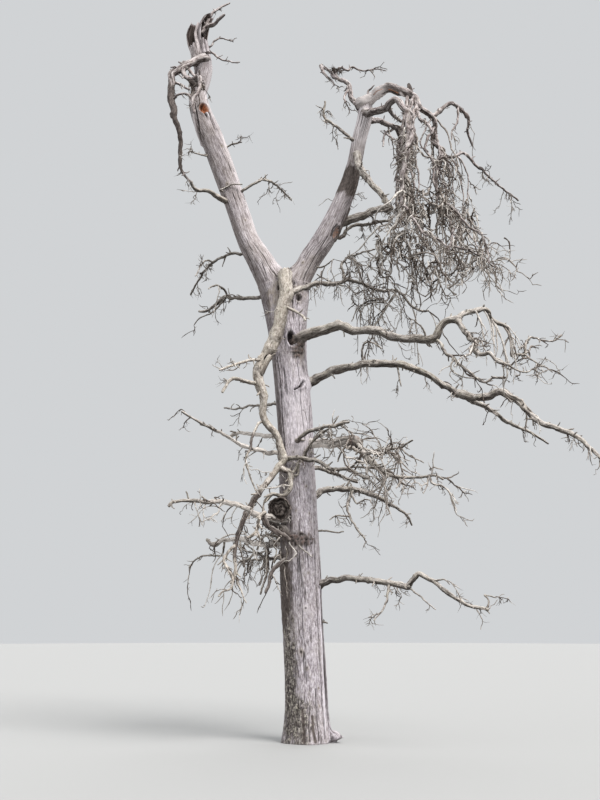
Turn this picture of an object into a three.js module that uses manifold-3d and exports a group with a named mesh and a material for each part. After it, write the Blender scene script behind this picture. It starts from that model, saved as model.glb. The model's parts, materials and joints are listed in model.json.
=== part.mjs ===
// A barkless dead pine, standing rooted: a leaning trunk that forks into two leaders, a broken limb that hangs from the fork, and the main boughs of the crown.
// Millimetres, +Z up. The origin is the middle of the flat cut across the foot of the trunk, at ground level. +X is to the right in the front view, and -Y is towards the viewer.
import * as THREE from "three";
import { mergeVertices } from "three/addons/utils/BufferGeometryUtils.js";
import Module from "manifold-3d";

const wasm = await Module();
wasm.setup();

// ---- Driving dimensions ----
const CLEARANCE = 0.4; // gap that each limb keeps to whatever it grows from or touches
const INSET = 0.45; // where a bough starts inside its stem, as a part of the stem's radius
const RING_STEP = 150; // mm between the rings of a bough, at least
const RING_PER_RADIUS = 3; // and at least this many radii
const FOOT_SWELL = 0.3; // how much a bough thickens where it leaves a stem
const FLARE = { swell: 0.12, height: 240, ribs: 5, ribDepth: 0.4, turn: 1.1 }; // root flare of the trunk
const ROOT_NUB = { heading: -6, width: 0.3, reach: 95, height: 120 }; // one root shows as a short nub at the ground
const FORK = { from: 5300, to: 6350, wider: 1.12, flatter: 0.86 }; // the trunk broadens into the fork
const HOLLOW = { rim: 96, floor: 45, depth: 430, slotWidth: 62, slotHeading: -72, slotDepth: 260 }; // broken, hollow top of the left leader

// Stems: girth is [mm along, radius], and a run is [length, heading, rise] in mm and degrees.
const STEMS = {
  trunk: { foot: [0, 0, 0], sides: 20, rings: 20, level: true, tone: "silver",
    girth: [[0, 306], [300, 296], [800, 285], [2400, 277], [3000, 255], [5300, 250], [6200, 296], [6430, 262], [6510, 190]],
    runs: [[800,180,89], [1050,-180,87], [850,180,88], [850,180,88], [1000,-180,87], [810,180,85], [650,-180,86], [500,180,88]] },
  left_leader: { foot: [-320, 10, 6050], sides: 12, rings: 16, tone: "silver", hollow: true,
    girth: [[0, 200], [800, 200], [1300, 162], [2400, 170], [3200, 175], [3700, 155], [3950, 112], [4300, 136], [5000, 150]],
    runs: [[420,178,65], [390,179,65], [410,174,61], [430,172,71], [640,169,71], [720,170,70], [500,171,68], [310,161,79], [260,12,79], [300,47,85], [300,170,78], [300,160,79]] },
  right_leader: { foot: [-300, -10, 6050], sides: 12, rings: 13, tone: "silver",
    girth: [[0, 170], [800, 165], [1300, 160], [1900, 130], [2400, 105], [3300, 112], [3620, 78]],
    runs: [[430,-2,67], [420,-4,63], [360,-9,56], [520,-13,63], [420,-13,68], [380,-26,74], [350,-28,78], [280,-23,74], [180,-39,79], [130,-144,75]] },
};

// Limbs: on and along say which limb they leave, and how far along its axis. face is the heading of the side of the stem they leave. r is the radius at the foot and at the tip.
const LIMBS = {
  top_left_bough: { on: "left_leader", along: 4450, face: -61, r: [67, 48],
    runs: [[50,-61,6], [230,-155,-24], [455,-151,-43], [65,-135,-63], [700,-59,-82]] },
  top_left_hanger: { on: "top_left_bough", along: 1505, r: [40, 16],
    runs: [[270,42,-60], [550,85,-71], [270,30,-47]] },
  top_left_loop: { on: "top_left_bough", along: 550, r: [41, 23],
    runs: [[220,-47,-65], [110,-23,-27], [145,-24,7], [125,-43,-62], [140,-116,-74], [240,-149,-63], [280,-60,-75]] },
  top_prong: { on: "left_leader", along: 4980, face: 0, r: [34, 13],
    runs: [[200,0,66], [240,41,67], [195,34,49], [290,39,42]] },
  left_leader_low_bough: { on: "left_leader", along: 1910, face: -141, r: [46, 23],
    runs: [[85,-141,-24], [320,-146,15], [180,-148,-5], [160,-136,33]] },
  left_leader_foot_bough: { on: "left_leader", along: 1130, face: 140, r: [26, 14],
    runs: [[100,140,-43], [245,148,5], [310,146,-7], [125,140,-22], [370,126,-22], [325,119,-30]] },
  left_bough_upper: { on: "trunk", along: 6300, face: 169, r: [34, 20],
    runs: [[130,169,-2], [715,148,7], [75,148,21], [430,144,-19], [140,151,7]] },
  left_bough_hidden: { on: "trunk", along: 4700, face: 149, r: [23, 14],
    runs: [[180,149,-7], [490,129,7], [495,130,3], [320,132,11]] },
  left_bough_middle: { on: "trunk", along: 3920, face: -160, r: [31, 12],
    runs: [[180,-160,-2], [320,-131,-2], [330,-130,4], [620,-125,11], [160,-136,13], [410,-155,25]] },
  left_bough_middle_back: { on: "trunk", along: 4200, face: 158, r: [30, 22],
    runs: [[205,158,-4], [680,145,11], [200,141,-17]] },
  left_bough_low: { on: "trunk", along: 2980, face: -136, r: [56, 21],
    runs: [[545,-132,-1], [310,-129,5], [95,-118,24], [460,-136,8], [225,-138,-3], [335,-159,0], [120,-158,-15], [85,-152,-46]] },
  left_bough_lowest: { on: "trunk", along: 2690, face: 167, r: [46, 23],
    runs: [[105,167,-7], [350,143,-3], [215,143,7], [185,142,19], [365,150,-1], [195,147,-17], [165,144,34]] },
  left_bough_lowest_back: { on: "trunk", along: 2460, face: 151, r: [28, 17],
    runs: [[185,151,-2], [690,119,2], [660,121,-1]] },
  hung_limb_upper: { foot: [-320, -260, 6575], r: [99, 73],
    runs: [[385,-81,-73], [180,-150,-81], [470,-178,-76], [560,-173,-64]] },
  hung_limb_middle: { on: "hung_limb_upper", along: 1595, r: [68, 52],
    runs: [[100,131,-84], [350,19,-76], [290,59,-85], [270,8,-52], [370,14,-72]] },
  hung_limb_tip: { on: "hung_limb_middle", along: 1385, r: [52, 18],
    runs: [[900,-161,-55], [555,-147,-70], [340,-79,-79], [140,-157,-63]] },
  hung_limb_left_arm: { on: "hung_limb_middle", along: 210, r: [35, 20],
    runs: [[135,-150,-7], [205,-148,9], [90,-139,-5], [110,-130,-37], [250,-116,-48]] },
  right_bough_top: { on: "trunk", along: 6220, face: -80, r: [44, 30],
    runs: [[150,-79,0], [585,29,26], [330,31,10], [175,33,31]] },
  right_bough_top_outer: { on: "right_bough_top", along: 1255, r: [30, 17],
    runs: [[675,28,-7], [215,19,10], [405,20,-41], [120,14,-19], [110,14,13]] },
  right_bough_top_rise: { on: "right_bough_top", along: 1200, r: [23, 14],
    runs: [[350,102,65], [105,40,52], [160,31,35], [460,28,23]] },
  right_bough_upper: { on: "trunk", along: 5500, face: -55, r: [76, 51],
    runs: [[105,-56,9], [155,-30,31], [175,-28,17], [365,-26,4], [295,-25,-18], [215,-25,-7], [325,-25,-23], [300,-24,-12], [140,-13,-16], [185,-13,5], [265,-24,55], [190,-13,7]] },
  right_bough_upper_arm: { on: "right_bough_upper", along: 2690, r: [34, 17],
    runs: [[180,37,39], [385,33,18], [95,35,-6], [135,54,-40], [280,26,-18], [195,51,-57], [240,84,-65]] },
  right_bough_upper_drop: { on: "right_bough_upper", along: 2690, r: [37, 17],
    runs: [[380,-56,-53], [150,-42,-34], [175,-132,-51], [130,-43,-36], [120,-38,0], [160,-52,-46], [225,-42,-29]] },
  right_bough_upper_under: { on: "right_bough_upper", along: 2295, r: [25, 15],
    runs: [[120,-45,-67], [470,-24,-48], [375,-21,-39], [125,-20,23], [180,-18,-4]] },
  right_bough_upper_end: { on: "right_bough_upper_arm", along: 1445, r: [19, 12],
    runs: [[100,30,-13], [155,27,7], [185,72,64], [155,39,48], [390,27,1], [255,27,29]] },
  right_bough_long: { on: "trunk", along: 4880, face: -7, r: [67, 42],
    runs: [[340,-16,25], [320,-17,18], [225,-17,4], [150,-6,15], [395,-6,-2], [205,-7,-13], [215,6,-21], [700,14,-27]] },
  right_bough_long_outer: { on: "right_bough_long", along: 2555, r: [42, 14],
    runs: [[565,33,-16], [250,36,-24], [510,35,-13], [485,36,-17]] },
  right_bough_long_fork: { on: "right_bough_long", along: 2445, r: [42, 13],
    runs: [[240,-35,-22], [235,-35,-5], [225,-37,13], [800,-46,-41], [370,-41,-24], [955,-51,-40]] },
  right_bough_middle: { on: "trunk", along: 4050, face: 0, r: [57, 61],
    runs: [[665,-49,-5], [140,-39,-2], [210,-39,-11]] },
  right_bough_middle_outer: { on: "right_bough_middle", along: 1015, r: [31, 15],
    runs: [[430,-54,-42], [425,-47,-33], [365,-32,-8], [240,-31,2], [130,-35,-29]] },
  right_bough_middle_top: { on: "right_bough_middle", along: 1015, r: [23, 13],
    runs: [[265,-61,-39], [370,-56,-8], [125,-61,11], [325,-58,-1], [240,-64,12]] },
  right_bough_centre: { on: "trunk", along: 3810, face: -118, r: [38, 23],
    runs: [[170,-118,-2], [430,-25,-7], [270,-28,-28], [260,-33,-7], [365,-35,-23]] },
  right_bough_centre_back: { on: "trunk", along: 3740, face: 28, r: [36, 23],
    runs: [[185,36,2], [945,45,-8]] },
  right_bough_low: { on: "trunk", along: 3270, face: 20, r: [50, 31],
    runs: [[150,34,17], [150,43,34], [380,36,11], [570,35,-4], [660,38,-20], [150,38,-28], [165,55,-45]] },
  right_bough_bottom: { on: "trunk", along: 2030, face: 0, r: [52, 37],
    runs: [[240,-28,15], [350,-36,11], [160,-34,-1], [800,-31,-10]] },
  right_bough_bottom_outer: { on: "right_bough_bottom", along: 1520, r: [36, 20],
    runs: [[220,-35,44], [80,-26,-17], [125,-28,-26], [150,-32,-38], [255,-24,-34], [160,-19,-26], [255,-19,-16]] },
  crown_left_bough: { on: "right_leader", along: 3390, face: 180, r: [51, 17],
    runs: [[35,-179,-29], [390,142,61], [110,79,75], [105,150,53], [285,140,38], [150,128,53], [305,138,43]] },
  crown_left_fork: { on: "crown_left_bough", along: 890, r: [38, 13],
    runs: [[110,86,79], [125,22,50], [130,17,-14], [85,22,51], [230,16,-4], [240,16,16], [130,16,-4]] },
  crown_top_bough: { on: "right_leader", along: 3450, face: 180, r: [71, 47],
    runs: [[35,-179,-22], [260,-21,16], [110,-26,36], [100,-21,18], [95,-11,-6], [285,0,-21], [85,1,-49], [130,-1,-71]] },
  crown_right_bough: { on: "crown_top_bough", along: 1105, r: [47, 31],
    runs: [[290,18,-33], [85,44,-65], [305,105,-74]] },
  crown_middle_bough: { on: "right_leader", along: 3250, face: -86, r: [67, 37],
    runs: [[60,-85,-9], [420,-52,-12], [145,-60,8], [70,-40,9], [475,-45,-48]] },
  crown_lower_bough: { on: "right_leader", along: 3200, face: 62, r: [50, 33],
    runs: [[475,58,24], [565,54,11]] },
  crown_far_bough: { on: "crown_right_bough", along: 255, r: [38, 16],
    runs: [[145,26,30], [345,28,42], [315,30,-26], [105,59,-56], [125,96,-61], [240,50,-52]] },
  curtain_inner_stem: { on: "crown_middle_bough", along: 1080, r: [40, 21],
    runs: [[250,-106,-77], [140,-48,-74], [345,-131,-73], [260,-157,-78], [555,-180,-86]] },
  curtain_outer_stem: { on: "crown_right_bough", along: 630, r: [37, 16],
    runs: [[235,-22,-60], [545,-138,-75], [850,-41,-73], [325,-136,-75]] },
  curtain_back_stem: { on: "crown_lower_bough", along: 1040, r: [37, 18],
    runs: [[195,59,-55], [280,101,-61], [295,63,-57], [310,39,-44], [320,116,-76], [370,15,-55], [305,10,-29], [225,20,-61]] },
  crown_long_twig: { on: "curtain_outer_stem", along: 245, r: [26, 14],
    runs: [[150,15,-22], [135,14,16], [95,15,38], [65,14,-15], [110,25,-54], [255,20,-33], [190,33,-33], [560,29,-24]] },
  right_leader_hooked_bough: { on: "right_leader", along: 2590, face: -84, r: [60, 36],
    runs: [[60,-84,-16], [270,-74,-62], [495,-58,-55], [215,-42,-50], [305,-52,-58], [105,-34,-37]] },
  right_leader_bark_bough: { on: "right_leader", along: 1540, face: 41, r: [70, 47],
    runs: [[180,14,15], [310,20,27], [290,32,30], [120,30,19], [120,36,-23]] },
  right_leader_low_bough: { on: "right_leader", along: 1370, face: 51, r: [30, 21],
    runs: [[70,51,-28], [160,24,10], [180,36,54], [770,24,20], [100,26,48]] },
  right_leader_gap_bough: { on: "right_leader", along: 2790, face: -110, r: [28, 16],
    runs: [[390,-164,35], [220,-177,38], [80,179,74], [210,0,85]] },
  back_bough_upper: { on: "trunk", along: 5150, face: 95, r: [64, 22],
    runs: [[420,95,16], [520,84,6], [480,101,-4], [380,78,10]] },
  back_bough_middle: { on: "trunk", along: 4020, face: 84, r: [52, 17],
    runs: [[400,84,9], [480,98,-3], [420,80,-12], [330,104,4]] },
  back_bough_low: { on: "trunk", along: 3060, face: 101, r: [46, 16],
    runs: [[380,100,5], [430,86,-7], [380,108,-13]] },
  left_leader_back_bough: { on: "left_leader", along: 2320, face: 92, r: [44, 15],
    runs: [[340,94,30], [380,82,22], [330,104,26]] },
  right_leader_back_bough: { on: "right_leader", along: 2020, face: 88, r: [42, 15],
    runs: [[330,88,26], [390,97,21], [340,80,25]] },
};

const TONES = {
  silver: { color: 0xa99ea0, roughness: 0.86 },
  warm: { color: 0xb3a892, roughness: 0.88 },
  grey: { color: 0x9a9083, roughness: 0.9 },
  umber: { color: 0x7d6f64, roughness: 0.92 },
};
const TONE_OF = [[/^hung_limb/, "warm"], [/^(crown|curtain|top_)/, "umber"], [/^(left|right)_bough/, "grey"]];

// ---- Curves ----
const radians = THREE.MathUtils.degToRad;
const direction = (heading, rise) =>
  new THREE.Vector3(Math.cos(radians(heading)) * Math.cos(radians(rise)), Math.sin(radians(heading)) * Math.cos(radians(rise)), Math.sin(radians(rise)));

const axes = new Map(); // name -> { curve, length, radiusAt }

function interpolate(table, x) {
  for (let i = 1; i < table.length; i++) {
    const [x0, y0] = table[i - 1], [x1, y1] = table[i];
    if (x <= x1) return y0 + ((y1 - y0) * Math.max(0, x - x0)) / (x1 - x0);
  }
  return table[table.length - 1][1];
}

function footOf(limb) {
  if (limb.foot) return new THREE.Vector3(...limb.foot);
  const parent = axes.get(limb.on);
  const at = parent.curve.getPointAt(Math.min(1, limb.along / parent.length));
  if (limb.face === undefined) return at;
  return at.addScaledVector(direction(limb.face, 0), INSET * parent.radiusAt(limb.along));
}

function axisOf(limb) {
  const points = [footOf(limb)];
  for (const [length, heading, rise] of limb.runs)
    points.push(points[points.length - 1].clone().addScaledVector(direction(heading, rise), length));
  const curve = points.length > 2 ? new THREE.CatmullRomCurve3(points) : new THREE.LineCurve3(...points);
  curve.arcLengthDivisions = 400;
  const length = curve.getLength();
  const radiusAt = limb.girth
    ? (along) => interpolate(limb.girth, along)
    : (along) => {
        const f = along / length;
        const swell = limb.face === undefined ? 0 : FOOT_SWELL * Math.exp(-along / (2.2 * limb.r[0]));
        return limb.r[0] * (1 + swell) + (limb.r[1] - limb.r[0]) * f;
      };
  return { curve, length, radiusAt };
}

// ---- Sections ----
// The trunk's outline at a height and heading: flare, ribs and the root nub at the ground, and the broadening below the fork.
function trunkRadius(along, angle) {
  let r = interpolate(STEMS.trunk.girth, along);
  r *= 1 + FLARE.swell * Math.exp(-along / FLARE.height) * (1 + FLARE.ribDepth * Math.cos(FLARE.ribs * angle + FLARE.turn));
  const off = Math.atan2(Math.sin(angle - radians(ROOT_NUB.heading)), Math.cos(angle - radians(ROOT_NUB.heading)));
  r += ROOT_NUB.reach * Math.exp(-((off / ROOT_NUB.width) ** 2) - (along / ROOT_NUB.height) ** 2);
  const f = THREE.MathUtils.smoothstep(along, FORK.from, FORK.to);
  const wide = 1 + (FORK.wider - 1) * f, flat = 1 + (FORK.flatter - 1) * f;
  return r * Math.hypot(wide * Math.cos(angle), flat * Math.sin(angle));
}

// A closed tube round an axis, made by bending a cylinder. grow makes it larger all round, for cutting a neighbour clear of it.
function tube(name, limb, grow = 0) {
  const { curve, length, radiusAt } = axes.get(name);
  const sides = limb.sides ?? (limb.r[0] > 62 ? 7 : limb.r[0] > 36 ? 6 : 5);
  const step = Math.max(RING_STEP, RING_PER_RADIUS * (limb.r ? limb.r[0] : 0));
  const rings = limb.rings ?? THREE.MathUtils.clamp(Math.round(length / step), 2, 13);
  const frames = curve.computeFrenetFrames(rings);
  const geometry = new THREE.CylinderGeometry(1, 1, 1, sides, rings, false);
  geometry.deleteAttribute("normal");
  geometry.deleteAttribute("uv");
  const place = geometry.getAttribute("position");
  const v = new THREE.Vector3(), X = new THREE.Vector3(1, 0, 0), Y = new THREE.Vector3(0, 1, 0);
  for (let i = 0; i < place.count; i++) {
    v.fromBufferAttribute(place, i);
    const k = Math.round((v.y + 0.5) * rings), t = k / rings, along = t * length;
    const angle = Math.atan2(v.x, v.z), out = Math.hypot(v.x, v.z);
    const r = out * ((limb.level ? trunkRadius(along, angle) : radiusAt(along)) + grow);
    const p = curve.getPointAt(t);
    p.addScaledVector(limb.level ? Y : frames.binormals[k], r * Math.sin(angle));
    p.addScaledVector(limb.level ? X : frames.normals[k], r * Math.cos(angle));
    if (k === 0) p.addScaledVector(frames.tangents[k], -grow);
    if (k === rings) p.addScaledVector(frames.tangents[k], grow);
    if (limb.level && k === 0) p.z = -grow;
    place.setXYZ(i, p.x, p.y, p.z);
  }
  return geometry;
}

// ---- Solids ----
function solidOf(geometry) {
  const merged = mergeVertices(geometry, 1e-4);
  return new wasm.Manifold(
    new wasm.Mesh({ numProp: 3, vertProperties: merged.getAttribute("position").array, triVerts: new Uint32Array(merged.index.array) }),
  );
}

function stripped(geometry) {
  geometry.deleteAttribute("normal");
  geometry.deleteAttribute("uv");
  return geometry;
}

function geometryOf(solid, origin) {
  const mesh = solid.getMesh(), n = mesh.numProp;
  const position = new Float32Array(mesh.numVert * 3);
  for (let i = 0; i < mesh.numVert; i++)
    for (let c = 0; c < 3; c++) position[3 * i + c] = mesh.vertProperties[i * n + c] - origin.getComponent(c);
  const geometry = new THREE.BufferGeometry();
  geometry.setAttribute("position", new THREE.BufferAttribute(position, 3));
  geometry.setIndex(new THREE.BufferAttribute(new Uint32Array(mesh.triVerts), 1));
  geometry.computeVertexNormals();
  return geometry;
}

const largest = (solid) => solid.decompose().reduce((a, b) => (b.volume() > a.volume() ? b : a));

const meets = (a, b) => [0, 1, 2].every((c) => a.min[c] <= b.max[c] && b.min[c] <= a.max[c]);

// The hollow in the broken top: a cone down the axis, and a slot that the break left open in one side.
function hollowOut(solid, name) {
  const { curve, length } = axes.get(name);
  const end = curve.getPointAt(1), tangent = curve.getTangentAt(1);
  const upright = new THREE.Quaternion().setFromUnitVectors(new THREE.Vector3(0, 1, 0), tangent);
  const cone = stripped(new THREE.CylinderGeometry(HOLLOW.rim, HOLLOW.floor, HOLLOW.depth, 10));
  cone.translate(0, -HOLLOW.depth / 2 + 5, 0).applyQuaternion(upright).translate(end.x, end.y, end.z);
  const slot = stripped(new THREE.BoxGeometry(400, HOLLOW.slotWidth, HOLLOW.slotDepth));
  slot.translate(200, 0, -HOLLOW.slotDepth / 2 + 40).rotateZ(radians(HOLLOW.slotHeading)).translate(end.x, end.y, end.z);
  return solid.subtract(solidOf(cone)).subtract(solidOf(slot));
}

// ---- Assembly ----
const tree = new THREE.Group();
const groups = { trunk: new THREE.Group(), left_leader: new THREE.Group(), right_leader: new THREE.Group() };
tree.add(...Object.values(groups));
const groupOf = new Map();

const placed = [];
for (const [name, limb] of Object.entries({ ...STEMS, ...LIMBS })) {
  axes.set(name, axisOf(limb));
  let solid = solidOf(tube(name, limb));
  if (limb.hollow) solid = hollowOut(solid, name);
  for (const other of placed) if (meets(other.box, solid.boundingBox())) solid = solid.subtract(other.grown);
  solid = largest(solid);
  const grown = solidOf(tube(name, limb, CLEARANCE));
  placed.push({ grown, box: grown.boundingBox() });

  const tone = TONES[limb.tone ?? (TONE_OF.find(([pattern]) => pattern.test(name)) ?? [0, "grey"])[1]];
  const foot = footOf(limb).round();
  const mesh = new THREE.Mesh(geometryOf(solid, foot), new THREE.MeshStandardMaterial({ ...tone, metalness: 0 }));
  mesh.name = name;
  mesh.position.copy(foot);
  const group = groups[name] ?? groupOf.get(limb.on) ?? groups.trunk;
  groupOf.set(name, group);
  group.add(mesh);
}

export default tree;
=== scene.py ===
# A barkless dead pine. The stems, the limb that hangs from the fork and the boughs are swept meshes with the relief of weathered wood,
# and the twigs grow on from them by a seeded branching rule. Metres, +Z up, with the origin at the middle of the cut at ground level.
import json
import math
import re

import bpy
import numpy as np
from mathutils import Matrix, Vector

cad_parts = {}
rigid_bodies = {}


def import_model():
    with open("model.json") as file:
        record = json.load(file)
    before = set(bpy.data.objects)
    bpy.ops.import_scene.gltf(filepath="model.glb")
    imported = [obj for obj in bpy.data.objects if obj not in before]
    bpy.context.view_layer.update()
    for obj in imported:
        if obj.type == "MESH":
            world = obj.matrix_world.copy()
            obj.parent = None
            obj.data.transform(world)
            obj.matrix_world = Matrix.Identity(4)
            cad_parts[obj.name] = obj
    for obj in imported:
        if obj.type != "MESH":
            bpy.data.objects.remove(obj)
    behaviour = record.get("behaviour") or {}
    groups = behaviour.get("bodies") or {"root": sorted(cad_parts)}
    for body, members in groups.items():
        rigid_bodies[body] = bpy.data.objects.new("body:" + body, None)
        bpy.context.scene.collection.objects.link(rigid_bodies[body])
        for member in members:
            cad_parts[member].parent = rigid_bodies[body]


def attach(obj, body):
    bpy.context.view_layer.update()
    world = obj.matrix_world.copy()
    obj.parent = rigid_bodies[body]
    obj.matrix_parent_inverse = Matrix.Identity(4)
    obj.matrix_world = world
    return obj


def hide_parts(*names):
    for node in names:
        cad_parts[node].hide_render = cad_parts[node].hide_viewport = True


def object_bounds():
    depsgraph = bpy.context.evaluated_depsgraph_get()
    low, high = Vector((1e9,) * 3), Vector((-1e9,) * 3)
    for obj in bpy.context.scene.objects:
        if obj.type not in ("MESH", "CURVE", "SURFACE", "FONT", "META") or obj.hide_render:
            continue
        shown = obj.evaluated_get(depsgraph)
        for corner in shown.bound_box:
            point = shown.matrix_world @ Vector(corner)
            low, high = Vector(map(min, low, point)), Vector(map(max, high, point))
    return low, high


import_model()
CAD_BOX = [[float(c) for c in corner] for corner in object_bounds()]

# ---- Named sizes ----
SPREAD = 0.45  # where a bough starts inside its stem, as a part of the stem's radius
FOOT_SWELL = 0.1  # how much a bough thickens where it leaves a stem, besides the collar that joins them
SLIM = 0.92  # the plain tube under a bough's relief, as a part of the bough's radius
SLIMMER = {"crown_left_fork": 0.6, "crown_dark_stub": 2.1, "left_bough_lowest": 1.12, "curtain_inner_stem": 1.25, "crown_top_bough": 1.06, "hung_limb_upper": 1.08, "hung_limb_middle": 1.08, "crossing_twig_down": 1.75, "crossing_twig_up": 1.15, "right_stick_upper": 1.5,
           "stick_upper_b": 1.3, "right_bough_long_fork": 1.5, "hung_hanging_twig": 1.12, "left_bough_middle": 1.2, "left_bough_middle_back": 1.2, "right_bough_upper_arm": 1.2, "right_bough_upper_drop": 1.15, "trunk_spike": 1.5, "right_bough_middle": 1.08}
WAISTS = {"hung_limb_upper": [(0, 1), (0.79, 1), (0.86, 0.82), (1, 0.80)], "right_bough_low": [(0, 1), (0.55, 1), (0.8, 0.75), (1, 0.42)], "hung_limb_middle": [(0, 0.94), (0.24, 0.94), (0.36, 0.82), (1, 0.86)]}  # how the girth changes along a limb, besides its taper
FLARE = dict(swell=0.12, height=0.24, ribs=5, rib_depth=0.4, turn=1.1)
ROOT_NUB = dict(heading=-6, width=0.32, reach=0.085, middle=0.06, height=0.1)
FORK = dict(start=5.3, end=6.35, wider=1.12, flatter=0.86)

# Stems: foot in mm, girth as [mm along, radius in mm], and runs of [length, heading, rise] in mm and degrees
STEMS = {
    "trunk": dict(
        foot=[0, 0, 0],
        girth=[[0,306], [300,296], [800,285], [2400,277], [3000,255], [5300,250], [6200,296], [6430,262], [6510,190]],
        runs=[(800, 180, 89), (1050, -180, 87), (850, 180, 88), (850, 180, 88), (1000, -180, 87), (810, 180, 85), (650, -180, 86), (500, 180, 88)],
    ),
    "left_leader": dict(
        foot=[-320, 10, 6050],
        girth=[[0,200], [800,200], [1300,162], [2400,170], [3200,175], [3700,155], [3950,112], [4300,136], [5000,150]],
        runs=[(420, 178, 65), (390, 179, 65), (410, 174, 61), (430, 172, 71), (640, 169, 71), (720, 170, 70), (500, 171, 68), (310, 161, 79), (260, 12, 79), (300, 47, 85), (300, 170, 78), (300, 160, 79)],
    ),
    "right_leader": dict(
        foot=[-300, -10, 6050],
        girth=[[0,170], [800,165], [1300,160], [1900,130], [2400,105], [3300,112], [3620,78]],
        runs=[(430, -2, 67), (420, -4, 63), (360, -9, 56), (520, -13, 63), (420, -13, 68), (380, -26, 74), (350, -28, 78), (280, -23, 74), (180, -39, 79), (130, -144, 75)],
    ),
}

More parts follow.
